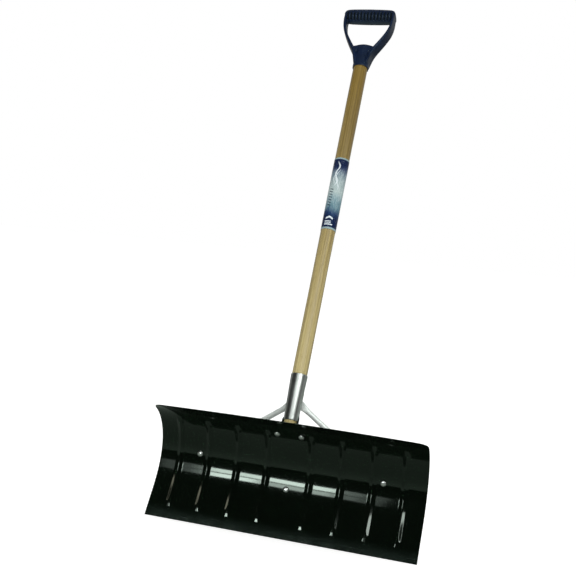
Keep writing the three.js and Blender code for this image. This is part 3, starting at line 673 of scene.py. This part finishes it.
for i, (name, (stem, x, s)) in enumerate(BOLTS.items()):
    spin = [0.3, 1.1, 0.6, 2.0, 0.15][i]
    b = rings(name + "_v", bolt_loops(), 34, place=lambda L: at_sheet(L, x, s))
    put(b, name, "zinc")
    w = rings(stem + "_washer_v", washer_loops(STACK + GAP), 40, "wrap", place=lambda L: at_sheet(L, x, s))
    put(w, stem + "_washer", "zinc")
    u = rings(stem + "_nut_v", nut_loops(STACK + 2 * GAP + WASHER_T), 22, "wrap", place=lambda L: at_sheet(L, x, s, spin))
    put(u, stem + "_nut", "zinc")

# ------------------------------------------------------------------ handle
AXIS_Y, HANDLE_R, HANDLE_TOP_R = -59.7, 17.1, 17.8
FERRULE_Z, FERRULE_R = (243.5, 347.0), (15.6, 18.6)
RIM_Z, BAR_Z, TENON_R, TENON_TOP = 1146.0, 1302.5, 15.1, 1197.0
BRACE_Y, BRACE_Z = -37.6, 292.6


def ferrule_r(z):
    return lerp(FERRULE_R[0], FERRULE_R[1], (np.asarray(z, float) - FERRULE_Z[0]) / (FERRULE_Z[1] - FERRULE_Z[0]))


def axis_loops(rows, n):
    L = np.array([circle(r, z, n) for r, z in rows])
    L[..., 1] += AXIS_Y
    return L


def build_handle():
    key = [(228.6, 12.9), (229.1, 13.35), (229.8, 13.8), (246, 14.0), (295, 15.4), (346, 16.9), (362, HANDLE_R), (640, HANDLE_R), (960, HANDLE_TOP_R), (1158, HANDLE_TOP_R), (1160.5, 15.1), (1195.5, 15.0), (1197, 13.5)]
    z = np.unique(np.concatenate([[k[0] for k in key], np.linspace(246, 362, 30), np.linspace(362, 1158, 260)]))
    r = np.interp(z, [k[0] for k in key], [k[1] for k in key])
    n = 96
    a = np.arange(n) / n * 2 * np.pi
    L = []
    for zi, ri in zip(z, r):
        free = smooth(350, 380, zi) * (1 - smooth(1120, 1150, zi)) * (1 - smooth(690, 700, zi) * (1 - smooth(877, 887, zi)))
        rr = ri - free * 0.10 * (1 + np.sin(zi / 47.0 + 2 * a) * 0.5 + 0.5 * np.sin(zi / 23.0 - a))
        L.append(np.stack([rr * np.cos(a), rr * np.sin(a) + AXIS_Y, np.full(n, zi)], -1))
    o = rings("handle_pole", np.array(L), 40)
    return o


h = put(build_handle(), "handle", "wood")
h.data.materials.append(MAT["end_grain"])
foot_z = world([0, AXIS_Y, 229.5])
axis_dir = Vector((0, SL, CL))
for p in h.data.polygons:
    c = Vector(p.center)
    along = (c - Vector(world([0, AXIS_Y, 0]))).dot(axis_dir) * 1000
    if along < 229.2 and abs(Vector(p.normal).dot(axis_dir)) > 0.7:
        p.material_index = 1

# ------------------------------------------------------------------ ferrule


def polar(r, a, z):
    r, a, z = np.broadcast_arrays(r, a, z)
    return np.stack([r * np.sin(a), AXIS_Y + r * np.cos(a), z], -1)


def build_ferrule():
    seam, half, t = math.radians(72), math.radians(1.2), 1.1
    a = np.linspace(seam + half, seam + 2 * math.pi - half, 145)
    z = np.unique(np.concatenate([[FERRULE_Z[0], FERRULE_Z[0] + 0.35, FERRULE_Z[0] + 0.9, FERRULE_Z[1] - 0.9, FERRULE_Z[1] - 0.35, FERRULE_Z[1]], np.linspace(FERRULE_Z[0] + 2, FERRULE_Z[1] - 2, 52)]))
    A, Z = np.meshgrid(a, z, indexing="ij")
    e = np.minimum(Z - FERRULE_Z[0], FERRULE_Z[1] - Z)
    rnd = 0.3 * (1 - smooth(0, 0.9, e)) ** 2
    # rolled from flat sheet, so it is very slightly out of round and rippled along the draw
    rip = 0.02 * np.sin(3 * A + 0.6) * smooth(0, 12, e) - 0.012 * (1 + np.sin(5 * A + Z / 60)) * smooth(0, 6, e)
    pinch = -0.12 * np.exp(-((Z - BRACE_Z) / 14.0) ** 2) * (0.5 + 0.5 * np.cos(A))
    out = polar(ferrule_r(Z) - rnd + rip + pinch, A, Z)
    inn = polar(ferrule_r(Z) - t + rnd * 0.5 + rip * 0.5, A, Z)
    return shell("ferrule_sleeve", out, inn, 45)


put(build_ferrule(), "ferrule", "ferrule")

# ------------------------------------------------------------------ bracket
STRAP_T, STRAP_TOP = 2.0, 318.0


def build_bracket():
    keys = [(0.316, 6), (0.32, 9), (0.328, 12), (0.338, 13), (0.69, 15), (0.712, 19), (0.724, 26), (0.736, 33), (0.746, 36), (0.76, 37.5), (0.78, 37.5), (0.796, 36), (0.805, 32.5), (0.812, 27), (0.83, 21), (0.845, 19)]
    s = np.unique(np.concatenate([[k[0] for k in keys], np.linspace(0.34, 0.69, 50), np.linspace(0.69, 0.845, 40), [0.318, 0.324, 0.333]]))
    half = np.interp(s, [k[0] for k in keys], [k[1] for k in keys])
    u = np.concatenate([[-1, -0.965], np.linspace(-0.9, 0.9, 19), [0.965, 1]])
    U, S = np.meshgrid(u, s, indexing="ij")
    H = np.broadcast_to(half, U.shape)
    e = np.minimum((1 - np.abs(U)) * H, np.minimum(S - 0.316, 0.845 - S) * ARC)
    rnd = 0.35 * (1 - smooth(0, 1.0, e)) ** 2
    # a stiffening bead down the middle of the tail is worked out, but it is multiplied by zero and adds nothing
    bead = 0.9 * smooth(0.40, 0.43, S) * (1 - smooth(0.66, 0.69, S)) * np.clip(1 - (np.abs(U * H) / 6.0) ** 2, 0, 1) ** 1.5
    front = on_sheet(U * H, S, SHEET_T + GAP + rnd)
    back = on_sheet(U * H, S, SHEET_T + GAP + PLATE_T - rnd + bead * 0.0)
    plate = shell("bracket_plate", back, front, 40)
    zk = [(204, 106), (238, 106), (244, 102), (248, 92), (252, 74), (256, 60), (261, 52), (280, 50), (310, 50), (315, 43), (318, 30)]
    z = np.unique(np.concatenate([[k[0] for k in zk], np.linspace(206, 262, 36), np.linspace(262, 318, 24), [316.2, 317.2]]))
    arc = np.radians(np.interp(z, [k[0] for k in zk], [k[1] for k in zk]))
    u = np.concatenate([[-1, -0.985], np.linspace(-0.95, 0.95, 41), [0.985, 1]])
    U, Z = np.meshgrid(u, z, indexing="ij")
    A = U * arc[None, :]
    flare = np.maximum(0, (250 - Z) / 20) ** 1.5 * 1.7 * smooth(0.9, 1.7, np.abs(A))
    e = np.minimum((1 - np.abs(U)) * arc[None, :] * 17, STRAP_TOP - Z)
    rnd = 0.35 * (1 - smooth(0, 1.0, e)) ** 2
    base = ferrule_r(Z) + GAP + 0.3
    trough = shell("bracket_trough", polar(base + STRAP_T + flare - rnd, A, Z), polar(base + flare + rnd, A, Z), 40)
    es = np.linspace(0.5, 1.0, 60)
    X, S = np.meshgrid(np.linspace(-70, 70, 29), es, indexing="ij")
    under = shell("under", on_sheet(X, S, SHEET_T + GAP), on_sheet(X, S, -26.0), None)
    boolean(trough, under, "DIFFERENCE")
    boolean(plate, trough, "UNION")
    plate.name = "bracket_pressing"
    finish_normals(plate, 40)
    return plate


put(build_bracket(), "handle_bracket", "bracket")

# ------------------------------------------------------------------ braces
TUBE_R, FLAT_W, FLAT_T, SCREW_R = 6.35, 18.5, 2.4, 3.0
strap_back = AXIS_Y + float(ferrule_r(BRACE_Z)) + GAP + 0.3 + STRAP_T
left_y = strap_back + GAP + FLAT_T / 2
right_y = left_y + FLAT_T + GAP


def unit(v):
    return v / np.linalg.norm(v)


def build_brace(side, top_y, name):
    A = np.array([0, BRACE_Y, BRACE_Z])
    th = float(profile(np.array(0.5064))[2])
    nrm = np.array([0, math.cos(th), -math.sin(th)])
    flat_b = on_sheet(side * 210.2, 0.5064, SHEET_T + GAP + 0.05 + FLAT_T / 2)
    B = flat_b + nrm * (TUBE_R - FLAT_T / 2)
    T = np.array([0, top_y, BRACE_Z])
    axis = B - A
    length = float(np.linalg.norm(axis))
    axis /= length
    top_dir = unit(np.array([axis[0], 0, axis[2]]))
    low_dir = unit(axis - nrm * (axis @ nrm))

    def centre(d):
        tube = A + axis * d
        p = lerp(tube, T + top_dir * d, 1 - float(smooth(15, 40, d)))
        return lerp(p, flat_b + low_dir * (d - length), float(smooth(length - 42, length - 15, d)))

    R = FLAT_W / 2
    ends = [R - R * math.cos(q) for q in np.linspace(0.12, math.pi / 2, 12)]
    ds = sorted(set([-R + e for e in ends] + list(np.linspace(0.5, 50, 44)) + list(np.linspace(50, length - 50, 40)) + list(np.linspace(length - 50, length - 0.5, 44)) + [length + R - e for e in ends]))
    n, L = 48, []
    for d in ds:
        c = centre(d)
        tan = unit(centre(d + 0.5) - centre(d - 0.5))
        nn = lerp(np.array([0, 1.0, 0]), nrm, d / length)
        nn = unit(nn - tan * (nn @ tan))
        w = np.cross(tan, nn)
        rd = float(smooth(11, 37, d) * (1 - smooth(length - 39, length - 11, d)))
        over = -d if d < 0 else d - length if d > length else 0
        end_w = math.sqrt(max(0.4, R * R - over * over))
        tip = 1 - 0.35 * max(0.0, (over - R + 1.0))
        a, b, p = lerp(end_w, TUBE_R, rd), lerp(FLAT_T / 2 * tip, TUBE_R, rd), lerp(0.26, 1.0, rd ** 0.8)
        f = (np.arange(n) + 0.5) / n * 2 * np.pi
        cf, sf = np.cos(f), np.sin(f)
        # a fold term for the pinched ends is worked out, but it is multiplied by zero, so the section keeps its plain
        # shape
        fold = (1 - rd) * float(smooth(4, 12, min(abs(d), abs(length - d)) + 4))
        bb = b * (1 + 0.0 * fold)
        L.append(c + (a * np.sign(cf) * np.abs(cf) ** p)[:, None] * w + (bb * np.sign(sf) * np.abs(sf) ** p)[:, None] * nn)
    return rings(name, np.array(L), 50)


put(build_brace(-1, left_y, "brace_tube_left"), "brace_left", "tube")
put(build_brace(1, right_y, "brace_tube_right"), "brace_right", "tube")

y0 = right_y + FLAT_T / 2 + GAP


def to_back(L):
    """local +Z becomes +Y, at the common screw behind the handle"""
    return np.stack([L[..., 0], L[..., 2], -L[..., 1] + BRACE_Z], -1)


put(rings("brace_washer_v", washer_loops(y0, 3.35), 40, "wrap", place=to_back), "brace_screw_washer", "zinc")
y1 = y0 + WASHER_T + GAP


def screw_loops():
    n = 72
    tip = AXIS_Y - 6
    R, a = hex_radius(n, 10.9, 0.2)
    rc = 10.9 / 2 * 0.97
    ch = np.maximum(0, R - rc) * 0.55
    ring = lambda r, z: np.stack([r * np.cos(a), r * np.sin(a), np.broadcast_to(z, a.shape)], -1)
    L = [ring(0.3, tip), ring(1.4, tip + 1.2), ring(2.6, tip + 4)]
    z = tip + 5
    while z < y1 - 14:
        L += [ring(2.35, z), ring(2.95, z + 0.8), ring(2.95, z + 1.0), ring(2.35, z + 1.8)]
        z += 2.6
    L += [ring(2.95, y1 - 10), ring(2.95, y1), ring(rc, y1), ring(R, y1 + 0.2), ring(R, y1 + 4.2 - ch), ring(rc, y1 + 4.2), ring(rc * 0.72, y1 + 4.2), ring(rc * 0.62, y1 + 3.95), ring(0.3, y1 + 3.9)]
    return np.array(L)


put(rings("brace_lag_screw", screw_loops(), 25, place=to_back), "brace_screw", "zinc")


def grip_screw_loops():
    n = 48
    z1 = AXIS_Y + 20.2 + 0.45
    rows = [(0.3, AXIS_Y + 3), (0.9, AXIS_Y + 4), (1.5, AXIS_Y + 7), (1.55, z1), (3.55, z1), (3.6, z1 + 0.25), (3.45, z1 + 0.75), (2.9, z1 + 1.25), (2.0, z1 + 1.6), (1.35, z1 + 1.72), (1.1, z1 + 1.2), (0.3, z1 + 1.1)]
    L = np.array([circle(r, z, n) for r, z in rows])
    return np.stack([L[..., 0], L[..., 2], -L[..., 1] + 1178.0], -1)


put(rings("grip_screw_v", grip_screw_loops(), 40), "grip_screw", "zinc")

# ------------------------------------------------------------------ label


def build_label():
    half = math.radians(176)
    a = np.linspace(math.pi - half, math.pi + half, 121)
    z = np.unique(np.concatenate([np.linspace(LABEL[0], LABEL[1], 94), [LABEL[0] + 0.3, LABEL[1] - 0.3]]))
    A, Z = np.meshgrid(a, z, indexing="ij")
    # shrunk film: fine puckers towards the cut ends
    end = np.minimum(Z - LABEL[0], LABEL[1] - Z)
    puck = -0.10 * (0.5 + 0.5 * np.sin(23 * A + Z / 3.0)) * np.exp(-end / 5.0)
    base = np.interp(Z, [640, 960], [HANDLE_R, HANDLE_TOP_R])
    out = polar(base + 0.55 + puck, A, Z)
    inn = polar(base + 0.30 + puck, A, Z)
    return shell("label_film", out, inn, 60)


put(build_label(), "label", "label")

# ------------------------------------------------------------------ D-grip


def section(c, u, v, a, b, p, n):
    f = (np.arange(n) + 0.5) / n * 2 * np.pi
    cf, sf = np.cos(f), np.sin(f)
    return c + (a * np.sign(cf) * np.abs(cf) ** p)[:, None] * u + (b * np.sign(sf) * np.abs(sf) ** p)[:, None] * v


def build_grip():
    Y, Z = np.array([0, 1.0, 0]), np.array([0, 0, 1.0])
    hz = [(0, 18.6), (30, 18.2), (46, 17.6), (54, 16.8), (59, 15.2), (62, 12.6), (64.2, 8.5), (65.2, 4)]
    hy = [(0, 19.0), (30, 18.8), (48, 18.6), (56, 18.4), (60, 18), (63, 17), (65.2, 15)]
    q = np.linspace(-1, 1, 101)
    xs = np.sign(q) * 65.1 * np.abs(q) ** 0.75
    bar = rings("bar", np.array([section(np.array([x, AXIS_Y, BAR_Z]), Y, Z, np.interp(abs(x), *zip(*hy)), np.interp(abs(x), *zip(*hz)), 0.9, 72) for x in xs]), None)
    # x, z, thickness, depth of each arm
    arm = np.array([[57.5, 1310, 9, 34], [60.4, 1299, 7.4, 37], [61.2, 1288, 6.8, 37.6], [60.4, 1275, 7, 37.6], [58.1, 1262, 7.4, 37.2], [54, 1249, 7.5, 36.6], [46.4, 1233, 7.8, 36],
                    [36.9, 1216, 8.8, 35.5], [27.4, 1200, 9.6, 35.5], [20.8, 1185, 9.6, 36], [17, 1170, 9, 36.5], [14.2, 1157, 8, 37]], float)
    k = np.arange(len(arm))
    # Catmull-Rom through the stations
    def cr(col, t):
        i = np.clip(np.floor(t).astype(int), 0, len(arm) - 2)
        f = t - i
        g = lambda j: arm[np.clip(j, 0, len(arm) - 1), col]
        p0, p1, p2, p3 = g(i - 1), g(i), g(i + 1), g(i + 2)
        return 0.5 * (2 * p1 + (p2 - p0) * f + (2 * p0 - 5 * p1 + 4 * p2 - p3) * f * f + (3 * p1 - p0 - 3 * p2 + p3) * f ** 3)
    t = np.linspace(0, len(arm) - 1, 90)
    parts = [bar]
    for side in (-1, 1):
        c = np.stack([side * cr(0, t), np.full(t.shape, AXIS_Y), cr(1, t)], -1)
        tan = np.gradient(c, axis=0)
        tan /= np.linalg.norm(tan, axis=1)[:, None]
        L = [section(ci, unit(np.cross(ti, Y)), Y, th / 2, dp / 2, 0.5, 56) for ci, ti, th, dp in zip(c, tan, cr(2, t), cr(3, t))]
        parts.append(rings("arm", np.array(L), None))
    prof = [(0.3, 1146.0), (19.5, 1146.0), (20.0, 1146.5), (20.2, 1148), (20.2, 1152), (20.1, 1160), (20.0, 1170), (19.8, 1180), (19.6, 1190), (19.2, 1197), (18.4, 1202), (17, 1206), (15, 1209), (12.4, 1211.2), (9, 1212.4), (4.5, 1213), (0.3, 1213.1)]
    parts.append(rings("socket", axis_loops(prof, 72), None))
    web = []
    for x in np.linspace(-31, 31, 41):
        top = 1213.2 - 0.0105 * x * x
        low = 1188 + max(0.0, (abs(x) - 18) * 1.05)
        web.append(section(np.array([x, AXIS_Y, (top + low) / 2]), Y, Z, 14.5, (top - low) / 2, 0.5, 48))
    parts.append(rings("web", np.array(web), None))
    base = parts[0]
    for p in parts[1:]:
        boolean(base, p, "UNION")
    bore = [(0.3, 1138), (HANDLE_TOP_R + 0.35, 1138), (HANDLE_TOP_R + 0.35, 1158.3), (15.45, 1161), (15.45, 1197.8), (0.3, 1197.8)]
    boolean(base, rings("bore", axis_loops(bore, 72), None), "DIFFERENCE")
    # one smooth moulding: voxel remesh, then relax the joins
    m = base.modifiers.new("r", "REMESH")
    m.mode, m.voxel_size, m.adaptivity = "VOXEL", 0.00075, 0.0
    bpy.context.view_layer.update()
    apply_modifiers(base)
    bm = bmesh.new()
    bm.from_mesh(base.data)
    bm.verts.ensure_lookup_table()
    low = np.array(world([0, AXIS_Y, 1146.0]))
    keep = np.array([(np.array(v.co) - low) @ np.array([0, SL, CL]) * 1000 for v in bm.verts])
    movable = [v for v, z in zip(bm.verts, keep) if z > 1.2]
    for _ in range(6):
        bmesh.ops.smooth_vert(bm, verts=movable, factor=0.5, use_axis_x=True, use_axis_y=True, use_axis_z=True)
    bm.to_mesh(base.data)
    bm.free()
    me = base.data
    me.update()
    n = len(me.vertices)
    co = np.zeros(n * 3)
    me.vertices.foreach_get("co", co)
    co = co.reshape(-1, 3)
    no = np.zeros(n * 3)
    me.vertices.foreach_get("normal", no)
    no = no.reshape(-1, 3)
    w = co * 1000
    w[:, 1] += FOOT / 2
    sx, sy, sz = w[:, 0], w[:, 1] * CL - w[:, 2] * SL, w[:, 1] * SL + w[:, 2] * CL
    ny = no[:, 1] * CL - no[:, 2] * SL
    nz = no[:, 1] * SL + no[:, 2] * CL
    # finger ribs: short grooves pressed into the front of the bar
    pitch = 8.57
    u = sx / pitch % 1.0 - 0.5
    groove = (1 - smooth(0.15, 0.33, np.abs(u))) * (np.abs(sx) < pitch * 7.0)
    ang = np.degrees(np.arctan2(sz - BAR_Z, -(sy - AXIS_Y)))  # 0 faces the front, + up
    span = smooth(-68, -58, ang) * (1 - smooth(0, 14, ang)) * (sz > BAR_Z - 22)
    depth = 1.7 * groove * span
    co2 = co - no * (depth / 1000)[:, None]
    me.vertices.foreach_set("co", co2.ravel())
    me.update()
    base.name = "d_grip_moulding"
    finish_normals(base, 60)
    return base


put(build_grip(), "d_grip", "plastic")

# ------------------------------------------------------------------ stage
def plane(name, centre, u, v, mat, su=1, sv=1):
    c, u, v = Vector(centre), Vector(u), Vector(v)
    pts = []
    fs = []
    for i in range(su + 1):
        for j in range(sv + 1):
            pts.append(c + u * (2 * i / su - 1) + v * (2 * j / sv - 1))
    for i in range(su):
        for j in range(sv):
            a = i * (sv + 1) + j
            fs.append((a, a + sv + 1, a + sv + 2, a + 1))
    me = bpy.data.meshes.new(name)
    me.from_pydata([tuple(p) for p in pts], [], fs)
    o = bpy.data.objects.new(name, me)
    bpy.context.scene.collection.objects.link(o)
    o.data.materials.append(mat)
    return o


floor_mat = bpy.data.materials.new("pale_floor")
nt, p = nodes_of(floor_mat)
p.inputs["Base Color"].default_value = (0.86, 0.86, 0.85, 1)
p.inputs["Roughness"].default_value = 0.9
p.inputs["Specular IOR Level"].default_value = 0.1
p.inputs["Emission Color"].default_value = (1, 1, 1, 1)
p.inputs["Emission Strength"].default_value = 0.66
floor = plane("floor", (0, 0, -0.0002), (14, 0, 0), (0, 14, 0), floor_mat)

# a dim card on the floor: dimmest near the line of the blade, brighter out to about 0.9 m, fading out between 2 and 2.5
# m
# painted reflection: the card is an emission-only sheet, and this glow is what the blade mirrors of the floor
flag_mat = bpy.data.materials.new("dark_card")
flag_mat.use_nodes = True
nt = flag_mat.node_tree
nt.nodes.clear()
fo = nt.nodes.new("ShaderNodeOutputMaterial")
em = nt.nodes.new("ShaderNodeEmission")
tc = nt.nodes.new("ShaderNodeTexCoord")
sp = nt.nodes.new("ShaderNodeSeparateXYZ")
nt.links.new(tc.outputs["Object"], sp.inputs[0])


def range_node(tree, src, a, b, c, d):
    n = tree.nodes.new("ShaderNodeMapRange")
    n.interpolation_type = "SMOOTHSTEP"
    tree.links.new(src, n.inputs[0])
    for i, q in enumerate((a, b, c, d)):
        n.inputs[1 + i].default_value = q
    return n.outputs[0]




def math_node(tree, op, a, b=0.0):
    n = tree.nodes.new("ShaderNodeMath")
    n.operation = op
    for i, q in enumerate((a, b)):
        if isinstance(q, bpy.types.NodeSocket):
            tree.links.new(q, n.inputs[i])
        else:
            n.inputs[i].default_value = q
    return n.outputs[0]


# distance on the floor from the line of the blade
dx = math_node(nt, "MAXIMUM", math_node(nt, "SUBTRACT", math_node(nt, "ABSOLUTE", sp.outputs[0]), 0.30), 0.0)
dist = math_node(nt, "SQRT", math_node(nt, "ADD", math_node(nt, "MULTIPLY", dx, dx), math_node(nt, "MULTIPLY", sp.outputs[1], sp.outputs[1])))
mu = nt.nodes.new("ShaderNodeMath")
mu.operation = "MULTIPLY"
nt.links.new(range_node(nt, dist, 0.15, 0.9, 0.23, 0.38), mu.inputs[0])
nt.links.new(range_node(nt, dist, 2.0, 2.5, 1.0, 0.0), mu.inputs[1])
em.inputs[0].default_value = (0.84, 1.0, 0.86, 1)
nt.links.new(mu.outputs[0], em.inputs[1])
nt.links.new(em.outputs[0], fo.inputs[0])


def card(o):
    """a glowing flag that only mirrors see: painted reflection"""
    o.visible_camera = False
    o.visible_diffuse = False
    o.visible_shadow = False
    o.visible_transmission = False
    return o


card(plane("flag_front", (0, 0, 0.001), (15, 0, 0), (0, 15, 0), flag_mat))

# ------------------------------------------------------------------ lights


def area(name, pos, look, size, power, colour=(1, 1, 1), size_y=None, spread=None):
    d = bpy.data.lights.new(name, "AREA")
    d.shape = "RECTANGLE"
    d.size = size
    d.size_y = size_y or size
    d.color = colour
    if spread:
        d.spread = spread
    A = d.size * d.size_y
    d.energy = power * A * math.pi  # power is the radiance seen in a mirror
    o = bpy.data.objects.new(name, d)
    bpy.context.scene.collection.objects.link(o)
    o.location = pos
    o.rotation_mode = "QUATERNION"
    o.rotation_quaternion = (Vector(look) - Vector(pos)).to_track_quat("-Z", "Y")
    return o


def facing(o):
    """turn a light to stand upright and face +Y, its width along X"""
    o.rotation_mode = "XYZ"
    o.rotation_euler = (math.radians(90), 0, 0)
    return o


def only_lights(light, nodes):
    """light linking: this lamp is a studio aid and falls only on the mesh pieces whose names start with these"""
    c = bpy.data.collections.new(light.name + "_receivers")
    for o in bpy.context.scene.objects:
        if o.type == "MESH" and any(o.name.startswith(n) for n in nodes):
            c.objects.link(o)
    light.light_linking.receiver_collection = c


KEY_Y, KEY_X, KEY_TILT = -1.94, -0.60, math.radians(8)
for tag, x0, x1, grow, gains, level in (("core_a", -0.955, -0.72, 0.0, (0.95, 1.12), 18.0), ("core_b", -0.72, -0.335, 0.0, (1.06, 0.5), 18.0), ("wide", -1.04, -0.225, 0.0, (1.0, 1.0), 2.3), ("edge", -1.2, -0.11, 0.06, (1.0, 1.0), 1.1)):
    for part, z0, z1, gain in (("low", 0.722, 0.950, gains[0]), ("high", 1.006, 1.232, gains[1])):
        cx, cz = (x0 + x1) / 2 - KEY_X, (z0 + z1) / 2 - 0.97
        px, pz = KEY_X + cx * math.cos(KEY_TILT) - cz * math.sin(KEY_TILT), 0.97 + cx * math.sin(KEY_TILT) + cz * math.cos(KEY_TILT)
        k = facing(area("key_%s_%s" % (part, tag), (px, KEY_Y, pz), (0, 0, 0.2), x1 - x0, level * gain, (0.955, 1.0, 0.985), size_y=z1 - z0 + grow))
        k.rotation_euler = (math.radians(90), -KEY_TILT, 0)
        only_lights(k, ("blade", "top_bolt", "side_bolt", "centre_bolt"))
only_lights(area("strip_right", (1.012, -0.537, 0.805), (0.19, 0.05, 0.09), 0.085, 11.0, size_y=0.48), ("blade",))
only_lights(area("strip_left", (-1.385, -0.118, 0.536), (-0.19, 0.05, 0.07), 0.06, 2.7, (1.0, 0.9, 0.72), size_y=0.35), ("blade",))
METAL = ("ferrule", "brace", "handle", "label", "d_grip", "grip", "top_", "side_", "centre_")
for name, az, half, level in (("soft_right", 44, 20, 3.4), ("soft_middle", 4, 20, 1.35)):
    sa, ca = math.sin(math.radians(az)), math.cos(math.radians(az))
    soft = area(name, (1.42 * sa, 0.12 - 1.42 * ca, 1.45), (0.0, 0.12, 0.30), 2 * 1.42 * math.tan(math.radians(half)), level, (0.97, 1.0, 0.975), size_y=0.9)
    only_lights(soft, METAL)
shape = area("shape_front", (0.55, -1.75, 1.55), (0.0, 0.25, 0.7), 1.3, 6.0, (1.0, 1.0, 0.985), size_y=1.3)
shape.visible_glossy = False
only_lights(shape, ("handle", "label", "d_grip", "brace"))
top_light = area("overhead", (0.2, 0.3, 3.0), (0, 0.2, 0.4), 2.2, 1.6, size_y=2.2)
top_light.visible_glossy = False

wd = bpy.data.worlds.new("studio")
bpy.context.scene.world = wd
wd.use_nodes = True
wt = wd.node_tree
wt.nodes.clear()
wo = wt.nodes.new("ShaderNodeOutputWorld")
lp = wt.nodes.new("ShaderNodeLightPath")
bg_seen = wt.nodes.new("ShaderNodeBackground")
bg_seen.inputs[0].default_value = (1, 1, 1, 1)
bg_seen.inputs[1].default_value = 1.0
bg_fill = wt.nodes.new("ShaderNodeBackground")
bg_fill.inputs[0].default_value = (1, 1, 1, 1)
bg_fill.inputs[1].default_value = 0.50
bg_mirror = wt.nodes.new("ShaderNodeBackground")
bg_mirror.inputs[0].default_value = (1.0, 1.0, 0.98, 1)
wtc = wt.nodes.new("ShaderNodeTexCoord")
wsp = wt.nodes.new("ShaderNodeSeparateXYZ")
wt.links.new(wtc.outputs["Generated"], wsp.inputs[0])
wt.links.new(range_node(wt, wsp.outputs[1], -0.10, 0.6, 0.020, 0.46), bg_mirror.inputs[1])
mix_a = wt.nodes.new("ShaderNodeMixShader")
mix_b = wt.nodes.new("ShaderNodeMixShader")
wt.links.new(lp.outputs["Is Diffuse Ray"], mix_a.inputs[0])
wt.links.new(bg_mirror.outputs[0], mix_a.inputs[1])
wt.links.new(bg_fill.outputs[0], mix_a.inputs[2])
wt.links.new(lp.outputs["Is Camera Ray"], mix_b.inputs[0])
wt.links.new(mix_a.outputs[0], mix_b.inputs[1])
wt.links.new(bg_seen.outputs[0], mix_b.inputs[2])
wt.links.new(mix_b.outputs[0], wo.inputs[0])

sc = bpy.context.scene
sc.view_settings.view_transform = "Standard"
sc.view_settings.look = "None"
sc.view_settings.exposure = 0.0
sc.view_settings.gamma = 1.0

# ------------------------------------------------------------------ camera
cam_data = bpy.data.cameras.new("camera")
cam = bpy.data.objects.new("camera", cam_data)
bpy.context.scene.collection.objects.link(cam)
right = Vector((0.95512661, 0.28487595, 0.08111012)).normalized()
fwd = Vector((-0.27860847, 0.95702694, -0.08047827)).normalized()
up = right.cross(fwd).normalized()
m = Matrix((right, up, -fwd)).transposed().to_4x4()
m.translation = Vector((0.51116973, -1.80959426 - FOOT / 2000, 0.68845952))
cam.matrix_world = m
cam_data.sensor_width = 36.0
cam_data.lens = 904.52 / 576 * 36.0
cam_data.clip_start, cam_data.clip_end = 0.05, 100
sc.camera = cam
